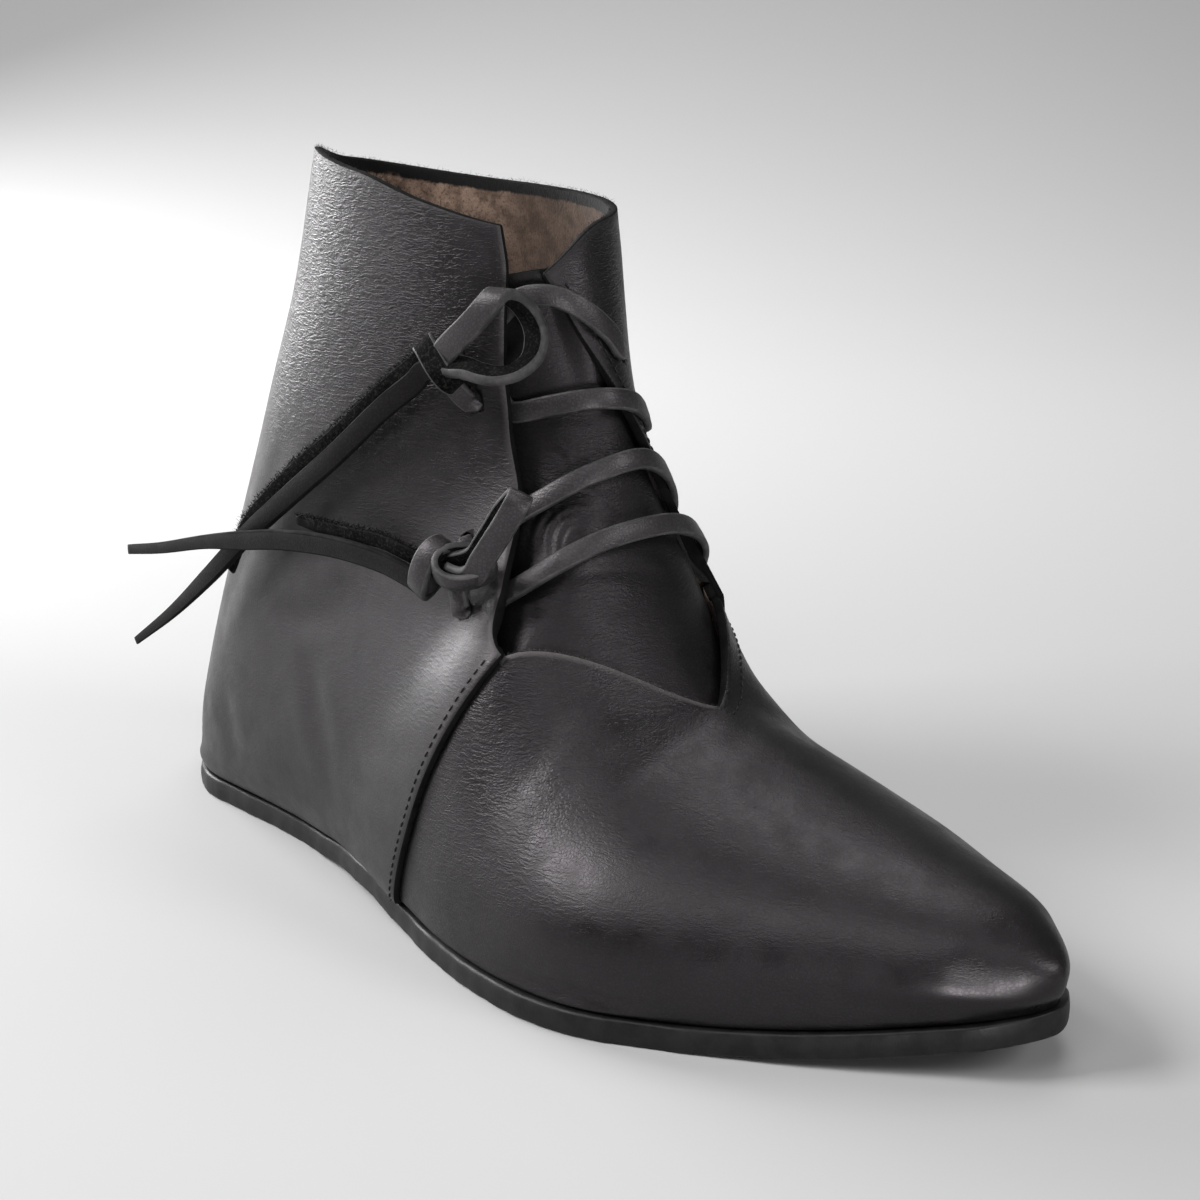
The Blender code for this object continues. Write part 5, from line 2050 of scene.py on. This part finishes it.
LOWER_LONG_END = (
    ThongPoint(139.0, 44.6, 87.6, 0.0, 1.00),
    ThongPoint(133.9, 45.4, 89.2, 2.0, 1.04),
    ThongPoint(123.8, 46.2, 91.0, 6.0, 1.05),
    ThongPoint(107.3, 47.2, 91.4, 8.0, 1.05),
    ThongPoint(87.2, 47.7, 89.3, 6.0, 1.02),
    ThongPoint(69.0, 47.6, 85.6, 4.0, 0.96),
    ThongPoint(52.0, 47.2, 81.8, 0.0, 0.72),
    ThongPoint(31.3, 46.6, 76.1, -4.0, 0.60),
    ThongPoint(14.6, 46.0, 72.3, -6.0, 0.52),
)
LOWER_SHORT_END = (
    ThongPoint(136.0, 42.2, 92.3, 0.0, 0.72),
    ThongPoint(130.1, 43.5, 94.0, 4.0, 0.74),
    ThongPoint(121.9, 44.3, 95.3, 8.0, 0.74),
    ThongPoint(111.1, 45.0, 95.0, 10.0, 0.72),
    ThongPoint(99.1, 45.0, 94.6, 10.0, 0.66),
    ThongPoint(90.3, 45.0, 94.5, 10.0, 0.45),
)


@dataclass
class Thong:
    """Flat leather strap with a rounded section."""

    finishes: Finishes
    width: float = 5.2
    thickness: float = 1.8
    rounding: float = 0.5
    crown: float = 0.12
    step: float = 0.9
    wrinkle: float = 0.4
    # By default a strap takes the lighter painted-highlight grain and edge.
    grain: str = "thong"
    edge: str = "thong_edge"

    def profile(self) -> List[Tuple[float, float, Face]]:
        """Section points (across, over) round the strap, with the side of the face that follows each."""
        half, thick, soft = self.width / 2, self.thickness / 2, self.rounding
        return [
            (soft - half, thick, Face.GRAIN), (0.0, thick + self.crown, Face.GRAIN),
            (half - soft, thick, Face.EDGE),
            (half - 0.3 * soft, thick - 0.3 * soft, Face.EDGE), (half, 0.0, Face.EDGE),
            (half - 0.3 * soft, 0.3 * soft - thick, Face.EDGE),
            (half - soft, -thick, Face.FLESH), (0.0, -thick, Face.FLESH), (soft - half, -thick, Face.EDGE),
            (0.3 * soft - half, 0.3 * soft - thick, Face.EDGE), (-half, 0.0, Face.EDGE),
            (0.3 * soft - half, thick - 0.3 * soft, Face.EDGE),
        ]

    def sweep(
        self, draft: MeshDraft, centres: Array, ways: Array, share: Optional[Array] = None,
        closed: bool = False,
    ) -> None:
        """Sweeps the strap along its centre line.

        Args:
            draft: mesh to add to.
            centres: points of the centre line.
            ways: width directions at those points.
            share: shares of the full section, for a tapering end.
            closed: whether the line is a ring.
        """
        if closed:
            tangent = unit(np.roll(centres, -1, axis=0) - np.roll(centres, 1, axis=0))
        else:
            tangent = unit(np.gradient(centres, axis=0))
        wide = unit(ways - tangent * np.sum(ways * tangent, axis=1, keepdims=True))
        over = np.cross(tangent, wide)
        scale = np.ones(len(centres)) if share is None else share
        section = self.profile()
        rows = [centres + (wide * a + over * b) * scale[:, None] for a, b, _ in section]
        index = draft.add(np.stack(rows, axis=1), wrinkle=self.wrinkle)
        if closed:
            index = np.concatenate([index, index[:1]])
        for k, (_, _, side) in enumerate(section):
            draft.grid(np.stack([index[:, k], index[:, (k + 1) % len(section)]], axis=1), side)
        if not closed:
            draft.cap(index[0], Face.EDGE)
            draft.cap(index[-1], Face.EDGE)

    def make(self, draft: MeshDraft, name: str, node: str) -> Piece:
        """Finishes a drafted strap in place of its solid."""
        piece = draft.build(name, self.finishes.of(self.grain, "thong_flesh", self.edge))
        return finished(piece, [node])


@dataclass
class Laces:
    """Two thongs that cross the tongue, each with a knot, a loop and two free ends on the outer side."""

    finishes: Finishes
    trees: PathTrees
    root_share: float = 0.6
    steep: float = 0.45
    turn_room: float = 0.10
    ring_points: int = 56
    ring_slant: float = 0.5

    def __post_init__(self) -> None:
        """Sets up the straps of the lace, its loops and its free ends."""
        self.thong = Thong(self.finishes)
        self.upper_strap = Thong(self.finishes, width=6.2, thickness=2.6, rounding=0.6)
        self.lower_strap = Thong(self.finishes, width=6.0, thickness=2.0)
        # The free ends take the darker painted-shade grain and the dark cut edge.
        self.end = Thong(self.finishes, grain="thong_tail", edge="cut")

    def build(self) -> None:
        """Makes both laces, with their knots, loops and free ends."""
        self.bars("upper_thong", "upper_lace", 0, 1, UPPER_KNOT)
        self.bars("lower_thong", "lower_lace", 2, 3, LOWER_KNOT)
        upper = self.wraps("upper_wraps", "upper_knot", UPPER_KNOT)
        lower = self.wraps("lower_wraps", "lower_knot", LOWER_KNOT)
        self.loop("upper_thong_loop", "upper_loop", UPPER_LOOP, UPPER_KNOT, self.upper_strap)
        self.loop("lower_thong_loop", "lower_loop", LOWER_LOOP, LOWER_KNOT, self.lower_strap)
        self.tail("upper_thong_end", "upper_long_end", UPPER_LONG_END, 1.0, UPPER_KNOT, [upper])
        self.tail("upper_thong_tail", "upper_short_end", UPPER_SHORT_END, -1.0, UPPER_KNOT, [])
        self.tail("lower_thong_end", "lower_long_end", LOWER_LONG_END, 1.0, LOWER_KNOT, [lower])
        self.tail("lower_thong_tail", "lower_short_end", LOWER_SHORT_END, -1.0, LOWER_KNOT, [])

    def slot_pass(self, slot: Slot) -> List[LacePoint]:
        """Lace points through a slot from outside to inside, towards growing turns.

        Args:
            slot: the slot.

        Returns:
            The lace points.
        """
        scale = surface_directions(slot.row, slot.turn)[3]
        step = float(FORM.quarter_step(slot.row))
        over = INNER_OVER if slot in INNER_SLOTS else OVER
        middle = -(FORM.wall + step) / 2
        ways = ((-3.4, over + step), (-1.3, 0.5 + step), (0.0, middle), (1.5, -FORM.wall - 0.8), (4.2, UNDER))
        return [LacePoint(slot.row, slot.turn + mm / scale, lift) for mm, lift in ways]

    def half_run(self, k: int) -> List[LacePoint]:
        """Lace points of one strand, from its outer slot to inside its inner slot."""
        return self.slot_pass(OUTER_SLOTS[k])[1:] + list(STRANDS[k]) + self.slot_pass(INNER_SLOTS[k])

    def bars(self, name: str, node: str, first: int, second: int, knot: Knot) -> Piece:
        """Lace from its knot in at one outer slot, over the tongue, round inside, back over and out again.

        Args:
            name: name of the piece.
            node: node of the solid model that it replaces.
            first: number of the slots on its way in.
            second: number of the slots on its way back.
            knot: knot that it starts from.

        Returns:
            The piece.
        """
        there, back = self.half_run(first), self.half_run(second)
        one, other = there[-1], back[-1]
        turn_back = LacePoint((one.row + other.row) / 2, max(one.turn, other.turn) + self.turn_room, UNDER)
        start = knot.strands
        run = [start] + there + [turn_back] + list(reversed(back)) + [start]
        table = np.array(run)
        places = FORM.lifted(table[:, 0], table[:, 1], False, table[:, 2])
        fine = smooth_route(np.hstack([places, table]), self.thong.step)
        centres = FORM.lifted(fine[:, 3], fine[:, 4], False, fine[:, 5])
        normal = FORM.normal(fine[:, 3], fine[:, 4], False)
        along = np.gradient(centres, axis=0)
        flat = along - normal * np.sum(along * normal, axis=1, keepdims=True)
        steep = np.linalg.norm(flat, axis=1) < self.steep * np.linalg.norm(along, axis=1)
        ways = np.cross(normal, unit(flat))
        known = np.nonzero(~steep)[0]
        at = np.arange(len(ways))
        ways = np.stack([np.interp(at, known, ways[known, k]) for k in range(3)], axis=1)
        draft = MeshDraft()
        self.thong.sweep(draft, centres, unit(ways))
        return self.thong.make(draft, name, node)

    def wraps(self, name: str, node: str, knot: Knot) -> Piece:
        """Wraps of a knot round its strands.

        Args:
            name: name of the piece.
            node: node of the solid model that it replaces.
            knot: the knot.

        Returns:
            The piece.
        """
        angles = np.linspace(0, 2 * np.pi, self.ring_points, endpoint=False)
        draft = MeshDraft()
        for ring in knot.rings:
            first, second = np.array(ring.first), np.array(ring.second)
            way = unit(np.cross(first, second)) * (-1.0 if ring.flesh_out else 1.0)
            slant = np.outer(np.sin(2 * angles), way) * self.ring_slant
            cosine, sine = np.outer(np.cos(angles), first), np.outer(np.sin(angles), second)
            centres = np.array(ring.middle) + cosine + sine + slant
            share = np.full(len(angles), ring.share)
            self.thong.sweep(draft, centres, np.tile(way, (len(angles), 1)), share, closed=True)
        return self.thong.make(draft, name, node)

    def towards(self, knot: Knot, end: Array) -> Array:
        """Point of a route between its end and the knot's root, with the end's other columns."""
        root = np.array(knot.root)
        return np.append(self.root_share * root + (1 - self.root_share) * end[:3], end[3:])

    def loop(self, name: str, node: str, route: Sequence[LoopPoint], knot: Knot, thong: Thong) -> None:
        """Loop of a lace, out of its knot and back into it.

        Args:
            name: name of the piece.
            node: solid that it stands for.
            route: its points.
            knot: the knot that it leaves.
            thong: its strap.
        """
        rows = [np.array(point.place + point.way) for point in route]
        for k, end in ((0, rows[0]), (len(rows) + 1, rows[-1])):
            rows.insert(k, self.towards(knot, end))
        fine = smooth_route(np.array(rows), thong.step)
        draft = MeshDraft()
        thong.sweep(draft, fine[:, :3], fine[:, 3:])
        self.declare(thong.make(draft, name, node), fine[:, :3], thong, "object", [])

    def tail(
        self, name: str, node: str, route: Sequence[ThongPoint], upright: float, knot: Knot,
        pieces: Sequence[Piece],
    ) -> None:
        """Free end of a lace, from inside its knot.

        Args:
            name: name of the piece.
            node: solid that it stands for.
            route: its points.
            upright: 1 where its grain side is out, -1 where its flesh side is.
            knot: the knot that it leaves.
            pieces: pieces that belong to it.
        """
        table = np.array(route, float)
        fine = smooth_route(np.vstack([self.towards(knot, table[0]), table]), self.end.step)
        centres = fine[:, :3]
        tangent = unit(np.gradient(centres, axis=0))
        up = np.array((0.0, 0.0, upright))
        base = unit(up - tangent * (tangent @ up)[:, None])
        lean = np.radians(fine[:, 3])[:, None]
        ways = base * np.cos(lean) + np.cross(tangent, base) * np.sin(lean)
        draft = MeshDraft()
        self.end.sweep(draft, centres, ways, fine[:, 4])
        piece = self.end.make(draft, name, node)
        extra = list(pieces)
        if upright < 0:
            edge = centres - ways * (self.end.width / 2 * fine[:, 4:])
            extra.append(self.fuzz(name + "_fuzz", edge[4:]))
        self.declare(piece, centres, self.end, "bare", extra)

    def fuzz(self, name: str, line: Array) -> Piece:
        """Loose fibres along an edge of a strap."""
        piece = self.trees.make(name, self.trees.fibres, [line], {
            "Spacing": 0.10, "Length": 1.9, "Radius": 0.11, "Spread": 0.6,
            "Seed": 7, "Material": self.finishes.of("cut")[0],
        })
        return finished(piece, [])

    @staticmethod
    def declare(
        piece: Piece, centres: Array, thong: Thong, far_end: str, pieces: Sequence[Piece]
    ) -> None:
        """Works out the world places of a free length of a lace; nothing is done with them.

        Args:
            piece: the strap; not used.
            centres: its centre line, from its knot.
            thong: its section; not used.
            far_end: what is at its other end; not used.
            pieces: pieces that belong to it; not used.
        """
        path = FORM.world(centres)


class Lamp(NamedTuple):
    """Square soft light: place, length of its side, power in watts, and what it faces if not the boot."""

    name: str
    place: Triple
    size: float
    power: float
    aim: Optional[Triple] = None


LAMPS = (
    Lamp("key", (-0.78, 0.50, 0.90), 0.5, 15.0),
    Lamp("rim", (-0.05, 1.15, 0.50), 0.6, 20.0),
    Lamp("side", (-0.80, 0.98, 0.24), 0.45, 2.2),
    Lamp("front", (0.22, -1.00, 0.66), 0.40, 5.0),
    Lamp("low", (-0.63, -1.04, 0.10), 0.20, 5.5),
    Lamp("over", (-0.50, -0.36, 0.95), 0.6, 3.0),
    Lamp("top", (0.42, 0.18, 1.20), 0.6, 4.0),
    Lamp("back", (0.20, 0.44, 1.15), 1.0, 17.0, (1.15, 1.58, 0.75)),
)


@dataclass
class Studio:
    """Pale floor with a curved back, soft lights and the camera at the photo's angle."""

    lens: float = 74.0
    sensor: float = 36.0
    eye: Triple = (-0.3881, -0.4266, 0.2477)
    target: Triple = (0.0217, 0.0060, 0.0727)
    floor_half: float = 2.2
    back_at: float = 0.75
    back_round: float = 2.0
    back_height: float = 2.4
    floor_aside: float = 2.6
    floor_tone: float = 0.42
    floor_rough: float = 0.9
    floor_gloss: float = 0.1
    surround: float = 0.08

    def build(self) -> None:
        """Makes the floor, the lights and the camera."""
        self.floor()
        for lamp in LAMPS:
            self.light(lamp)
        self.world()
        bpy.context.scene.view_settings.view_transform = "Standard"
        self.camera()

    def floor(self) -> None:
        """Floor that curves up behind the boot, square to the camera."""
        angles = np.linspace(0, np.pi / 2, 24)
        back = self.back_at + self.back_round * np.sin(angles)
        reach = np.concatenate([[-self.floor_half], back, [self.back_at + self.back_round]])
        rise = np.concatenate([[0.0], self.back_round * (1 - np.cos(angles)), [self.back_height]])
        look = unit(np.array([self.target[0] - self.eye[0], self.target[1] - self.eye[1]]))
        aside = np.array([look[1], -look[0]])
        points, faces = [], []
        for k, (out, up) in enumerate(zip(reach, rise)):
            for way in (-1, 1):
                spot = look * out + aside * way * self.floor_aside
                points.append((spot[0], spot[1], up))
            if k:
                a = 2 * k - 2
                faces.append((a, a + 1, a + 3, a + 2))
        mesh = bpy.data.meshes.new("floor")
        mesh.from_pydata(points, [], faces)
        mesh.shade_smooth()
        material, _, shader, _ = new_material("pale_floor")
        shader.inputs["Base Color"].default_value = (self.floor_tone, self.floor_tone, self.floor_tone, 1.0)
        shader.inputs["Roughness"].default_value = self.floor_rough
        shader.inputs["Specular IOR Level"].default_value = self.floor_gloss
        mesh.materials.append(material)
        floor = bpy.data.objects.new("floor", mesh)
        bpy.context.scene.collection.objects.link(floor)

    def light(self, lamp: Lamp) -> None:
        """Makes a lamp, out of the camera's sight.

        Args:
            lamp: its place, size, power and aim.
        """
        data = bpy.data.lights.new(lamp.name, "AREA")
        data.size = lamp.size
        data.energy = lamp.power
        made = bpy.data.objects.new(lamp.name, data)
        made.location = lamp.place
        made.rotation_euler = self.facing(lamp.place, lamp.aim or self.target)
        made.visible_camera = False
        bpy.context.scene.collection.objects.link(made)

    @staticmethod
    def facing(place: Triple, aim: Triple) -> Euler:
        """Rotation of a lamp or camera at a place that looks at its aim."""
        return (Vector(aim) - Vector(place)).to_track_quat("-Z", "Y").to_euler()

    def world(self) -> None:
        """Even pale surroundings."""
        world = bpy.data.worlds.new("studio")
        world.use_nodes = True
        shade = world.node_tree.nodes["Background"]
        shade.inputs["Color"].default_value = (1.0, 1.0, 1.0, 1.0)
        shade.inputs["Strength"].default_value = self.surround
        bpy.context.scene.world = world

    def camera(self) -> None:
        """Camera where the photo's camera stood, turned to the one boot."""
        data = bpy.data.cameras.new("camera")
        data.sensor_fit = "HORIZONTAL"
        data.sensor_width = self.sensor
        data.lens = self.lens
        data.clip_start = 0.01
        camera = bpy.data.objects.new("camera", data)
        camera.location = self.eye
        camera.rotation_euler = self.facing(self.eye, self.target)
        bpy.context.scene.collection.objects.link(camera)
        bpy.context.scene.camera = camera


def main() -> None:
    """Builds the boot and its studio, and logs the face count of each piece."""
    logging.basicConfig(level=logging.INFO, format="%(message)s")
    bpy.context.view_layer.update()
    finishes = Finishes()
    Sole(finishes).build()
    Upper(finishes).build()
    Tongue(finishes).build()
    trees = PathTrees()
    Trim(finishes, trees).build()
    Laces(finishes, trees).build()
    Studio().build()


if __name__ == "__main__":
    main()
